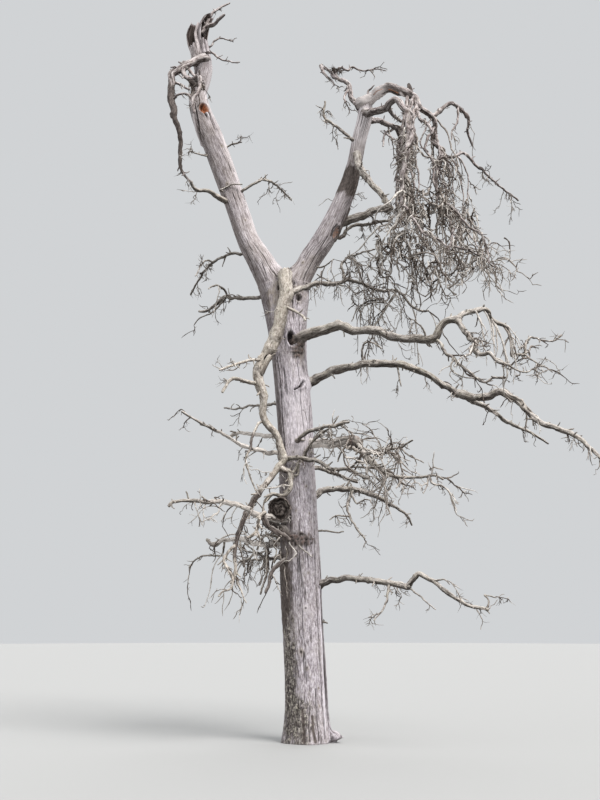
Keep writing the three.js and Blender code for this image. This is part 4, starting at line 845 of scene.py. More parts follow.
def add_marks(limb, S, TH, R, h, f, seed):
    """Holes, slits, patches and knots, in metres along and round the stem. Dark tones and the pits of knots paint shade
    in the hollows; pale tones lighten the wood, partly as painted highlight.
    """
    for i, mark in enumerate(MARKS.get(limb.name, ())):
        kind = mark[0]
        if limb.name not in STEMS and kind != "slit":  # on a bough too, -90 is the side that faces the viewer
            _, _, N, B = limb.at(np.array([mark[1] / 1000]))
            mark = (kind, mark[1], mark[2] + 90 + math.degrees(math.atan2(-B[0, 1], -N[0, 1])), *mark[3:])
        if kind == "slit":
            _, pts, half, depth, tone = mark
            mid = np.mean([a for _, a in pts])
            r = float(np.mean(limb.radius(np.array([a / 1000 for a, _ in pts]))))
            px = [(a / 1000, math.radians((b - mid + 180) % 360 - 180) * r) for a, b in pts]
            x, y = S, wrap(TH - math.radians(mid)) * r
            y = y + 0.006 * noise(S * 9, y * 20, 0.3, seed + i)
            d = segment_distance(x, y, px)
            w = half / 1000
            lo, hi = min(a for a, _ in px), max(a for a, _ in px)
            if half > 40:  # a broad one is ragged, and thins out towards its ends
                y = y + 0.018 * noise(S * 2.3, 0.5, 0.2, seed + i) + 0.008 * noise(S * 11, y * 9, 0.8, seed + i)
                d = segment_distance(x, y, px)
                w = w * (0.25 + 0.75 * smooth(0, 0.45, x - lo + 0.1) * smooth(0, 0.9, hi + 0.1 - x)) * (1 + 0.25 * noise(S * 1.7, 0.3, 0.9, seed + i))
                cut = 1 - smooth(0.1 * w, 1.25 * w, d)
                h -= depth / 1000 * cut
                # a broad slit is painted dark as shade
                f["cavity_shade"] = np.maximum(f["cavity_shade"], (0.80 + 0.35 * noise(S * 2.6, y * 22, 0.4, seed + i)) * (1 - smooth(0.55 * w, 1.2 * w, d)))
                continue
            cut = 1 - smooth(0.35 * w, 1.25 * w, d)
            h -= depth / 1000 * cut
            h += 0.35 * abs(depth) / 1000 * np.exp(-(((d - 1.9 * w) / (0.8 * w)) ** 2)) * (depth > 0)
            # painted shade in a dark slit
            if tone == "dark":
                f["cavity_shade"] = np.maximum(f["cavity_shade"], 0.95 * cut)
            elif tone == "rust":
                f["rust"] = np.maximum(f["rust"], cut)
                f["cavity_shade"] = np.maximum(f["cavity_shade"], 0.35 * cut)
            elif tone == "bark":
                f["bark"] = np.maximum(f["bark"], 1 - smooth(0.9 * w, 1.6 * w, d))
            # a pale ridge: painted highlight, besides pale wood
            elif tone == "pale":
                f["pale"] = np.maximum(f["pale"], 0.7 * (1 - smooth(0.4 * w, 1.3 * w, d)))
            continue
        along, angle = mark[1] / 1000, math.radians(mark[2])
        y = wrap(TH - angle) * R
        x = S - along
        if kind == "hole":
            a, b, depth, tone = mark[3] / 1000, mark[4] / 1000, mark[5] / 1000, mark[6]
            e = np.hypot(x / b, y / a) + 0.09 * noise(x * 14, y * 14, 2.2, seed + i)
            cut = 1 - smooth(0.62, 1.0, e)
            h -= depth * cut
            h += 0.012 * np.exp(-(((e - 1.22) / 0.22) ** 2))
            # painted shade inside a dark hole
            if tone == "dark":
                f["cavity_shade"] = np.maximum(f["cavity_shade"], 1 - smooth(0.8, 1.08, e))
            elif tone == "rust":
                deep = 1 - smooth(0.8, 1.1, e)
                f["rust"] = np.maximum(f["rust"], deep)
                f["cavity_shade"] = np.maximum(f["cavity_shade"], deep * smooth(0.35, 0.95, (x / b) * 0.8 + 0.25 - 0.5 * y / a) * 0.95)
            else:
                inner = 1 - smooth(0.75, 1.05, e)
                f["rust"] = np.maximum(f["rust"], (0.20 + 0.35 * smooth(0.0, 0.4, noise(x * 30, y * 60, 1.1, seed + 50 + i))) * inner)
                f["tan"] = np.maximum(f["tan"], 0.35 * inner)
                f["cavity_shade"] = np.maximum(f["cavity_shade"], np.exp(-(((e - 1.05) / 0.13) ** 2)) * 0.9)
        elif kind == "swell":
            a, b, tall = mark[3] / 1000, mark[4] / 1000, mark[5] / 1000
            e2 = (x / b) ** 2 + (y / a) ** 2
            h += tall * np.exp(-e2)
            # a painted highlight on the swelling
            f["pale"] = np.maximum(f["pale"], 0.5 * np.exp(-1.6 * e2))
        elif kind == "knot":
            r, tall = mark[3] / 1000, mark[4] / 1000
            e = np.hypot(x / (1.15 * r), y / r) + 0.10 * noise(x * 30, y * 30, 0.4, seed + i)
            h += tall * np.exp(-(e**2)) - 0.9 * tall * (1 - smooth(0.2, 0.45, e))
            f["cavity_shade"] = np.maximum(f["cavity_shade"], 0.9 * (1 - smooth(0.25, 0.5, e)))
            f["tan"] = np.maximum(f["tan"], 0.45 * (1 - smooth(0.7, 1.5, e)))
        elif kind == "patch":
            a, b, rough, tone = mark[3] / 1000, mark[4] / 1000, mark[5] / 1000, mark[6]
            edge = 0.28 * noise(x * 9, y * 16, 0.7, seed + i) + 0.16 * noise(x * 24, y * 40, 1.7, seed + i)
            e = np.hypot(x / b, y / a) if tone != "bark" or a < 0.4 else np.abs(x) / b
            m = 1 - smooth(0.78, 1.05, e + edge)
            bumps = noise(x * 26, y * 34, 0.5, seed + 40 + i)
            if tone == "burl":
                lumps = ridge(noise(x * 17, y * 13, 0.5, seed + 44 + i)) + 0.8 * noise(x * 40, y * 34, 0.5, seed + 41 + i)
                m = 1 - smooth(0.55, 1.05, e + 1.3 * edge)
                h += m * rough * (0.35 + 0.8 * lumps)
                f["rust"] = np.maximum(f["rust"], 0.12 * m * smooth(0.5, 1.1, lumps))
                f["bark"] = np.maximum(f["bark"], 0.85 * m)
                f["cavity_shade"] = np.maximum(f["cavity_shade"], m * smooth(0.45, -0.1, lumps))
            # painted light on shaded wood, besides pale wood
            elif tone == "pale":
                f["pale"] = np.maximum(f["pale"], min(1.0, 100 * rough) * (1 - smooth(0.3, 1.1, e + edge)))
            elif tone == "tan":
                f["tan"] = np.maximum(f["tan"], min(0.95, 100 * rough) * (1 - smooth(0.2, 1.15, e + 1.7 * edge)))
            elif tone == "flake":
                m = 1 - smooth(0.45, 1.1, e + 1.5 * edge)
                plates = smooth(-0.05, 0.12, noise(x * 17, y * 30, 0.5, seed + 42 + i) + 0.5 * noise(x * 40, y * 60, 0.2, seed + 43 + i))
                h += m * rough * (plates - 0.5)
                f["flake"] = np.maximum(f["flake"], m)
                f["cavity_shade"] = np.maximum(f["cavity_shade"], m * (1 - plates) * 0.6)
            elif tone == "bark":
                plates = ridge(noise(x * 12, y * 30, 0.5, seed + 42 + i))
                h += m * rough * (0.5 + 0.7 * plates + 0.5 * bumps)
                f["bark"] = np.maximum(f["bark"], m)
                f["cavity_shade"] = np.maximum(f["cavity_shade"], m * smooth(0.3, -0.2, plates) * 0.5)
            else:
                h += m * rough * bumps
                f["rust"] = np.maximum(f["rust"], 0.55 * m)
                f["bark"] = np.maximum(f["bark"], 0.4 * m)
    return h


def rings_of(limb, end, step, fine=0.011):
    """Where the rings of a stem lie: closer together at its small marks."""
    x = np.arange(0, end, 0.002)
    gap = np.full(len(x), step)
    for mark in MARKS.get(limb.name, ()):
        if mark[0] == "slit":
            at = [a / 1000 for a, _ in mark[1]]
            lo, hi = min(at) - 0.03, max(at) + 0.03
            if hi - lo > 0.4:
                continue
        elif mark[0] in ("hole", "knot") or mark[-1] == "burl":
            half = 0.04 if mark[0] == "knot" else 1.15 * mark[4] / 1000
            lo, hi = mark[1] / 1000 - half, mark[1] / 1000 + half
        else:
            continue
        gap[(x > lo) & (x < hi)] = fine
    gap = np.convolve(np.pad(gap, 20, mode="edge"), np.ones(41) / 41, mode="valid")
    count = np.concatenate([[0], np.cumsum(0.002 / gap)])
    return np.interp(np.linspace(0, count[-1], int(count[-1]) + 1), count, np.concatenate([x, [end]]))


def skin(soup, limb, sides, step, seed, upto=None, tip="broken", stem=False):
    """One limb's relief mesh."""
    end = limb.length if upto is None else upto
    n = max(4, int(round(end / step)))
    s = rings_of(limb, end, step) if stem else np.linspace(0, end, n + 1)
    free_tip = tip != "none"
    r_end = float(limb.radius(end))
    if any(AXES[c].bare_foot and AXES[c].along > end - 1.5 * r_end for c in CHILDREN.get(limb.name, ())):
        end += 0.7 * r_end
        s = np.linspace(0, end, n + 1)
    if free_tip:  # a few close rings round off the tip
        s = np.concatenate([s[s < end - 1.0 * r_end], end - r_end * np.array([0.95, 0.7, 0.45, 0.25, 0.1, 0.0])])
    open_foot = limb.bare_foot
    r_foot = float(limb.radius(0.0))
    if open_foot:  # and the foot, where it isn't inside what the limb grows from
        back = 0.8 * r_foot if limb.parent else 0.0
        s = np.concatenate([r_foot * np.array([0.0, 0.08, 0.2, 0.4, 0.65, 0.95]) - back, s[s > 1.05 * r_foot - back]])
    th = 2 * np.pi * np.arange(sides) / sides
    S, TH = np.meshgrid(s, th, indexing="ij")
    P, T, N, B = limb.at(s)
    radial = np.cos(TH)[..., None] * N[:, None] + np.sin(TH)[..., None] * B[:, None]
    R = np.broadcast_to(girth_of(limb, S, TH), S.shape).copy()
    f = {k: np.zeros_like(S) for k in Soup.FIELDS}
    V = P[:, None] + radial * R[..., None]
    push, crease = fillet(V, radial, limb)
    if stem:
        h, lines = stem_relief(limb, S, TH, R, seed)
    else:
        h, lines = bough_relief(limb, S, TH, R, seed)
        fade = smooth(0.0, 0.03 + R * 0.6, S)
        h = h * (0.4 + 0.6 * fade)
    # checks, lines and knot pits start the painted shade in hollows
    f["cavity_shade"] = np.maximum(lines, 0.0)
    h = add_marks(limb, S, TH, R, h, f, seed)
    for name, part, swell, tone in BURLS:
        if name == limb.name:
            e = (S - part * limb.length) / (2.6 * R)
            m = np.exp(-e * e) * (0.6 + 0.8 * np.clip(noise(S * 30, np.cos(TH) * 2, np.sin(TH) * 2, seed), -1, 1))
            h = h + R * swell * np.clip(m, 0, 1.2)
            f["bark"] = np.maximum(f["bark"], np.clip(1.1 * m, 0, dict(knobby=0.35, plain=0.0).get(tone, 0.8)))
            f["rust"] = np.maximum(f["rust"], np.clip(m, 0, 0.3) * (tone == "burl"))
    if limb.name == "trunk":  # the root that shows ends in a rounded knob
        off = wrap(TH - math.radians(ROOT_NUB["heading"] - 8))
        lump = np.exp(-(((S - 0.09) / 0.062) ** 2) - (off / 0.18) ** 2)
        h = h + 0.058 * lump * (1 + 0.5 * noise(S * 22, TH * 9, 0.4, 5)) - 0.055 * np.exp(-((S / 0.04) ** 2) - (off / 0.3) ** 2)
        # painted shade in the crease above the knob
        f["cavity_shade"] = np.maximum(f["cavity_shade"], 0.7 * np.exp(-(((S - 0.175) / 0.02) ** 2) - (off / 0.16) ** 2))
        h = h + 0.012 * smooth(0.5, 0.0, S) * ridge(noise(np.cos(TH) * 4, np.sin(TH) * 4, S * 1.4, 6))
    h = h + push * (1 - 0.9 * smooth(0.5, 0.95, f["cavity_shade"]))
    # painted shade in the crease where a limb meets another
    f["cavity_shade"] = np.clip(np.maximum(f["cavity_shade"], 0.18 * crease), 0, 1)
    r = np.maximum(R + h, 0.15 * R)
    if free_tip:
        to_go = np.clip((end - S) / r_end, 0, 1)
        jag = 0.25 * noise(np.cos(TH) * 1.7, np.sin(TH) * 1.7, 0.5, seed)
        r = r * np.sqrt(np.clip(1 - (1 - to_go) ** 2, 0.02, 1)) * (1 + jag * (1 - to_go))
        f["cavity_shade"] = np.maximum(f["cavity_shade"], 0.5 * (1 - smooth(0, 0.5, to_go)))
    if open_foot:
        to_go = np.clip((S + back) / r_foot, 0, 1)
        jag = (0.30 if limb.parent is None else 0.1) * noise(np.cos(TH) * 2.2, np.sin(TH) * 2.2, 0.5, seed + 3)
        r = r * np.sqrt(np.clip(1 - (1 - to_go) ** (2 if limb.parent else 5), 0.02, 1)) * (1 + jag * (1 - to_go))
    V = P[:, None] + radial * r[..., None]
    if limb.parent is None and open_foot:  # a torn end, with splinters
        tear = 0.25 * r_foot * (0.5 + noise(np.cos(TH) * 2.6, np.sin(TH) * 2.6, 0.9, seed + 4) + 0.5 * noise(np.cos(TH) * 6, np.sin(TH) * 6, 0.9, seed + 5))
        V = V - T[:, None] * (tear * smooth(1.2 * r_foot, 0.0, S) * (S > 0.001))[..., None]
    if limb.name == "trunk":
        V[0, :, 2] = 0.0
        V[..., 2] = np.maximum(V[..., 2], 0.0)
    # painted shade: undersides are darker, less so where painted light is marked
    f["under"] = smooth(-0.14, 0.58, -radial[..., 2]) * (1.0 if not stem else 0.45) * (1 - 0.5 * f["pale"])
    # painted highlight: a bough's top is lighter
    if not stem:
        f["pale"] = np.maximum(f["pale"], 0.35 * smooth(0.2, 0.9, radial[..., 2]))
    side = 0.13 * noise(np.cos(TH) * 3, np.sin(TH) * 3, S * 1.1, 77) + 0.07 * noise(np.cos(TH) * 9, np.sin(TH) * 9, S * 5, 78)
    if limb.name == "trunk":  # painted shade: the trunk's left side, away from the light, is darker
        line = 0.20 + 0.46 * smooth(2.7, 4.6, S)
        f["under"] = np.maximum(f["under"], (0.45 + 0.37 * smooth(1.3, 1.9, S)) * smooth(-0.03, 0.08, np.cos(TH - math.radians(172)) + side - line))
    elif limb.name == "left_leader":
        # painted shade on the leader's left side, and a painted highlight along its right edge
        f["under"] = np.maximum(f["under"], 0.66 * smooth(0.5, 0.85, np.cos(TH - math.radians(190)) + side))
        f["under"] = np.maximum(f["under"], 0.30 * smooth(1.2, 2.2, S) * smooth(-0.2, 0.5, np.cos(TH - math.radians(215)) + side))
        f["pale"] = np.maximum(f["pale"], 0.45 * smooth(0.80, 0.97, np.cos(TH + math.radians(14)) + 0.5 * side))
    mean = float(np.mean(limb.radius(limb.s)))
    grain = np.stack([np.cos(TH) * mean, np.sin(TH) * mean, S + 3.1 * seed], -1)
    soup.grid(V, grain, **f)


def shell(soup, points, radii, rim, seed, wall=0.011, floor=0.3, sides=44, bark=0.0, rings=0):
    """A hollow, broken stub: the outside runs up to a slanting, splintered rim, and the inside runs down from it to a floor. rim gives how high the wall stands at each angle, as a part of the length."""
    limb = Limb("stub", [np.array(p, float) for p in points], lambda s: 0 * np.asarray(s) + 0.05)
    th = 2 * np.pi * np.arange(sides) / sides
    top = rim(th)
    top = np.clip(top + 0.05 * noise(np.cos(th) * 3.1, np.sin(th) * 3.1, 0.3, seed) + 0.03 * noise(np.cos(th) * 9, np.sin(th) * 9, 0.6, seed), floor + 0.03, 1.0)
    up, down = np.linspace(0, 1, 34), np.linspace(0, 1, 20)[1:]
    outer = up[:, None] * top[None]
    inner = top[None] - down[:, None] * (top[None] - floor)
    F = np.concatenate([outer, inner])
    q = np.linspace(0.97, 0.06, 5 * rings)[:, None] + 0 * th if rings else np.zeros((0, sides))  # the floor, with rings like a healed knot
    swirl = np.cos(2 * np.pi * rings * (q + 0.50 * noise(np.cos(th) * 1.4, np.sin(th) * 1.4, 2 * q, seed + 9)))
    F = np.concatenate([F, floor + 0.10 * (1 - q**2) + 0.035 * swirl])
    S = F * limb.length
    P, T, N, B = (a.reshape(F.shape + (3,)) for a in limb.at(S.ravel()))
    TH = np.broadcast_to(th, F.shape)
    R = np.interp(F, *zip(*radii))
    inside = np.zeros(F.shape)
    inside[len(up) :] = 1
    ground = len(up) + len(down)
    thin = wall * (1 - 0.75 * smooth(0.85, 1.0, F / top[None]))
    wave = 0.10 * noise(np.cos(TH) * 1.3, np.sin(TH) * 1.3, S * 7, seed) + 0.07 * ridge(noise(np.cos(TH) * 3.2, np.sin(TH) * 3.2, S * 2.2, seed + 1)) + 0.03 * noise(np.cos(TH) * 7, np.sin(TH) * 7, S * 9, seed + 2)
    if rings:  # a burl is lumpy
        wave = 1.7 * wave + 0.06 * noise(np.cos(TH) * 2.2, np.sin(TH) * 2.2, S * 6, seed + 5)
    r = R * (1 + wave) - inside * (thin + 0.002)
    if rings:
        r[ground:] *= q
    else:
        r[-1] *= 0.3
    V = P + (np.cos(TH)[..., None] * N + np.sin(TH)[..., None] * B) * r[..., None]
    line = (1 - smooth(0.02, 0.12, np.abs(noise(np.cos(TH) * 2.6, np.sin(TH) * 2.6, S * 1.8, seed + 3)))) * 0.8
    rimmed = 1 - smooth(0.0, 0.05, top[None] - F)
    strands = smooth(-0.05, 0.3, noise(np.cos(TH) * 3.4, np.sin(TH) * 3.4, S * 2.5, seed + 6))
    # the inside of the hollow is painted dark as shade, lighter towards the rim
    f = dict(cavity_shade=np.clip(inside * (0.98 - 0.7 * rimmed - 0.26 * strands) + (1 - inside) * line, 0, 1), bark=np.maximum(inside * (0.8 - 0.5 * strands), bark), rust=inside * 0.15 * (1 - bark))
    if rings:
        f["cavity_shade"][ground:] = 0.25 + 0.65 * smooth(0.3, -0.5, swirl)
        f["bark"][ground:] = 0.9
        f["pale"] = 0 * inside
        f["pale"][ground:] = 0.07 * smooth(0.2, 0.9, swirl)
    grain = np.stack([np.cos(TH) * 0.07, np.sin(TH) * 0.07, S + seed], -1)
    soup.grid(V, grain, **f)


# ---- Twigs ----
def tubes(soup, paths, radii, sides, offset=0.0):
    """Many thin limbs of the same number of rings at once."""
    K, n = paths.shape[:2]
    if not K:
        return
    T = unit(np.gradient(paths, axis=1))
    v = np.where(np.abs(T[:, :1, 2:3]) < 0.85, np.array([[[0, 0, 1.0]]]), np.array([[[1.0, 0, 0]]]))[:, 0]
    N = np.empty_like(paths)
    for i in range(n):
        v = unit(v - (v * T[:, i]).sum(-1, keepdims=True) * T[:, i])
        N[:, i] = v
    B = np.cross(T, N)
    th = 2 * np.pi * np.arange(sides) / sides
    ring = np.cos(th)[:, None] * N[:, :, None] + np.sin(th)[:, None] * B[:, :, None]
    V = paths[:, :, None] + ring * radii[:, :, None, None]
    s = np.concatenate([np.zeros((K, 1)), np.cumsum(np.linalg.norm(np.diff(paths, axis=1), axis=-1), axis=1)], 1)
    g = np.empty(V.shape)
    g[..., 0] = np.cos(th) * 0.012
    g[..., 1] = np.sin(th) * 0.012
    g[..., 2] = s[:, :, None] + (offset + 1.37 * np.arange(K))[:, None, None]
    # painted shade on the twigs' undersides
    under = smooth(-0.2, 0.8, -ring[..., 2]) * 0.9
    base = soup.points(V, g, under=under)
    k, i, j = np.meshgrid(np.arange(K), np.arange(n - 1), np.arange(sides), indexing="ij")
    a = base + (k * n + i) * sides + j
    b = base + (k * n + i) * sides + (j + 1) % sides
    soup.poly(np.stack([a, b, b + sides, a + sides], -1).reshape(-1, 4))
    first = base + (np.arange(K) * n)[:, None] * sides + np.arange(sides)[None, ::-1]
    last = base + (np.arange(K) * n + n - 1)[:, None] * sides + np.arange(sides)[None]
    soup.poly(first)
    soup.poly(last)


EYE = np.array([-0.094, -14.1, 1.6])
LO, HI = np.array(CAD_BOX[0]), np.array(CAD_BOX[1])

# Openings in the crown that stay clear, each an ellipse on the plane of the trunk seen from the front: middle x and z, half width and half height in metres
OPENINGS = [
    (1.82, 8.66, 0.076, 0.125),
    (1.73, 8.30, 0.053, 0.099),
    (1.77, 8.05, 0.061, 0.073),
    (1.23, 9.15, 0.069, 0.059),
    (1.38, 8.89, 0.040, 0.100),
    (1.93, 7.49, 0.036, 0.104),
    (1.11, 8.45, 0.168, 0.464),
    (1.22, 8.07, 0.068, 0.196),
]


def in_opening(points):
    """True for points that would close one of the openings, seen from the front."""
    d = points - EYE
    t = -EYE[1] / np.maximum(d[..., 1], 1e-6)
    x, z = EYE[0] + d[..., 0] * t, EYE[2] + d[..., 2] * t
    hit = np.zeros(points.shape[:-1], bool)
    for cx, cz, a, b in OPENINGS:
        hit |= ((x - cx) / a) ** 2 + ((z - cz) / b) ** 2 < 1
    return hit


def grow(rng, start, heading, length, n, droop, kink, hook):
    """Paths of n points from each start. droop pulls them down, kink is how sharply they change course, and hook turns the last part up again."""
    K = len(start)
    d = unit(heading + 1e-6)
    p = start.copy()
    out = [p]
    drift = rng.normal(size=(K, 3)) * 0.35
    for i in range(1, n):
        f = i / (n - 1)
        sharp = rng.random((K, 1)) < 0.28
        turn = rng.normal(size=(K, 3)) * kink[:, None] * np.where(sharp, 1.7, 0.55) + drift * kink[:, None] * 0.5
        pull = droop * (1 - (1 + hook) * smooth(0.55, 1.0, f))
        d = unit(d + turn + pull[:, None] * np.array([0, 0, -1.0]) * (4.0 / n))
        p = p + d * (length / (n - 1))[:, None]
        out.append(p)
    paths = np.stack(out, 1)
    # keep inside the outline of the solids
    over = np.maximum((paths - (HI - 0.02)) / np.maximum(HI - 0.02 - start[:, None], 1e-3), ((LO + 0.02) - paths) / np.maximum(start[:, None] - LO - 0.02, 1e-3)).max((1, 2))
    low = ((0.15 - paths[..., 2]) / np.maximum(start[:, None, 2] - 0.15, 1e-3)).max(1)
    scale = 1 / (1 + np.maximum(np.maximum(over, low), 0))
    return start[:, None] + (paths - start[:, None]) * scale[:, None, None]


def taper(rng, K, n, r0, r1, knobs=0.22):
    f = np.linspace(0, 1, n)[None]
    r = r0[:, None] * (1 - f) + r1[:, None] * f
    r = r * (1 + knobs * rng.normal(size=(K, n)).clip(-1, 1.6))
    r[:, -1] *= 0.45
    return r


# Sprays: which limbs, from what part of their length, metres between twigs, their reach, droop, kink, hook, thickness at the foot in mm,
# how many side twigs each carries, and the heading and rise that they lean to, with how strongly
SPRAYS = [
    (r"curtain_(inner|outer|back)_stem", "curtain", (4, 5, 3), dict(start=0.06, every=0.12, reach=(0.25, 0.8), droop=1.2, kink=0.46, hook=0.5, thick=23, side=2.6, spurs=0.7)),
    (r"curtain_(twig_[abc]|left_twig|left_twig_b)", "curtain", (3, 5, 3), dict(start=0.05, every=0.15, reach=(0.2, 0.7), droop=1.0, kink=0.44, hook=0.5, thick=18, side=2.6, spurs=0.8)),
    (r"crown_(right|lower)_bough", "curtain", (4, 5, 2), dict(start=0.4, every=0.10, reach=(0.4, 1.3), droop=1.6, kink=0.40, hook=0.3, thick=17, side=3.5, spurs=1.2, n=17, lean=(-30, -70, 0.4))),
    (r"crown_far_bough", "curtain", (3, 5, 2), dict(start=0.35, every=0.30, reach=(0.3, 1.0), droop=1.9, kink=0.34, hook=0.3, thick=10.8, side=2, n=17, lean=(-20, -70, 0.4))),
    (r"crown_(top|middle|left)_bough|crown_inner.*|crown_left_.*|crown_dark_hanger", "crown", (5, 4, 2), dict(start=0.35, every=0.30, reach=(0.08, 0.32), droop=0.6, kink=0.34, hook=0.3, thick=9.6, side=1.2, spurs=1.0)),
    (r"crown_long_twig|far_hanger", "crown", (4, 5, 2), dict(start=0.2, every=0.14, reach=(0.15, 0.5), droop=1.0, kink=0.30, hook=0.4, thick=7.2, side=2)),
    (r"right_bough_top(_outer|_rise|_hanger)?|top_bough_twig_.*", "right", (4, 5, 3), dict(start=0.4, every=0.11, reach=(0.25, 0.95), droop=1.6, kink=0.28, hook=0.3, thick=9.6, side=4)),
    (r"right_leader_(hooked|bark|low|gap)_bough", "right", (5, 4, 2), dict(start=0.3, every=0.14, reach=(0.12, 0.42), droop=1.0, kink=0.34, hook=0.4, thick=9.6, side=3)),
    (r"right_bough_upper", "right", (4, 4, 2), dict(start=0.3, every=0.40, reach=(0.08, 0.3), droop=0.4, kink=0.35, hook=0.3, thick=11, side=1.2, spurs=0.9)),
    (r"right_bough_upper_arm", "right", (2, 4, 6), dict(start=0.25, stop=0.85, every=0.055, reach=(0.35, 0.75), droop=0.9, kink=0.11, hook=0.2, thick=16, side=1.2, spurs=0.8, lean=(-38, -52, 0.8))),
    (r"right_bough_upper_(drop|under|end)|upper_.*", "right", (4, 5, 4), dict(start=0.15, every=0.13, reach=(0.15, 0.6), droop=0.5, kink=0.38, hook=0.6, thick=14, side=2.2, spurs=0.9)),
    (r"right_bough_long|long_.*", "right", (4, 4, 3), dict(start=0.55, every=0.30, reach=(0.1, 0.42), droop=0.5, kink=0.35, hook=0.4, thick=11, side=1.6, spurs=0.9)),
    (r"right_bough_long_(outer|fork)", "right", (4, 4, 2), dict(start=0.15, every=0.20, reach=(0.1, 0.45), droop=0.8, kink=0.32, hook=0.4, thick=10, side=1.8, spurs=0.9)),
    (r"right_bough_middle(_outer|_top|_hook)?|middle_.*", "right", (3, 5, 5), dict(start=0.42, every=0.19, reach=(0.2, 0.7), droop=0.4, kink=0.34, hook=0.5, thick=15, side=1.8, spurs=0.7)),
    (r"right_bough_centre(_back)?|right_stick_.*|stick_.*", "right", (3, 5, 4), dict(start=0.45, every=0.17, reach=(0.10, 0.36), droop=0.6, kink=0.34, hook=0.4, thick=11, side=2, spurs=1.0)),
    (r"right_bough_low|right_bough_low_hanger|low_.*", "right", (4, 4, 2), dict(start=0.3, every=0.15, reach=(0.12, 0.5), droop=0.6, kink=0.35, hook=0.4, thick=8.4, side=2)),
    (r"right_bough_bottom(_outer)?|bottom_.*", "right", (4, 4, 2), dict(start=0.55, every=0.22, reach=(0.08, 0.36), droop=0.5, kink=0.35, hook=0.4, thick=7.2, side=1.5)),
    (r"left_bough_(upper|hidden|middle|middle_back|low).*|left_low_hanger|left_upper_.*", "left", (4, 4, 3), dict(start=0.4, every=0.22, reach=(0.15, 0.6), droop=0.7, kink=0.30, hook=0.4, thick=11, side=1.6, spurs=1.0)),
    (r"left_bough_lowest(_back)?|left_lowest_.*|left_hanging_strand", "left", (5, 4, 4), dict(start=0.15, every=0.24, reach=(0.2, 0.8), droop=1.2, kink=0.32, hook=0.4, thick=16, side=1.4, spurs=0.9)),
    (r"hung_limb_tip|hung_tip_.*|crossing_.*|hung_hanging_twig", "left", (3, 4, 4), dict(start=0.3, every=0.22, reach=(0.15, 0.6), droop=0.8, kink=0.34, hook=0.4, thick=11, side=1.8, spurs=1.0)),
    (r"hung_limb_(upper|middle|left_arm)|hung_limb_left_twig", "left", (3, 4, 3), dict(start=0.3, every=0.30, reach=(0.08, 0.35), droop=0.5, kink=0.35, hook=0.4, thick=8.4, side=1.5)),
    (r"top_left_.*|top_loop_.*", "top", (5, 3, 2), dict(start=0.25, every=0.12, reach=(0.07, 0.26), droop=0.7, kink=0.42, hook=0.3, thick=9.6, side=1.2, spurs=1.0)),
    (r"top_twig_.*|top_prong|top_stub", "top", (5, 3, 1), dict(start=0.4, every=0.22, reach=(0.05, 0.16), droop=0.2, kink=0.35, hook=0.3, thick=6, side=0.5, spurs=0.6)),
    (r"left_leader_.*|leader_.*|foot_bough_strand", "left", (5, 4, 2), dict(start=0.35, every=0.17, reach=(0.12, 0.45), droop=0.6, kink=0.36, hook=0.4, thick=8.4, side=2)),
    (r"back_bough_.*|right_leader_back_bough", "back", (4, 4, 2), dict(start=0.3, every=0.11, reach=(0.2, 0.75), droop=0.8, kink=0.33, hook=0.4, thick=10.8, side=3)),
    (r"curtain_(column|outer|hanging)_[a-f]", "curtain", (3, 4, 6), dict(start=0.25, every=0.15, reach=(0.12, 0.45), droop=1.1, kink=0.46, hook=0.5, thick=15, side=2.2, spurs=0.8)),
]

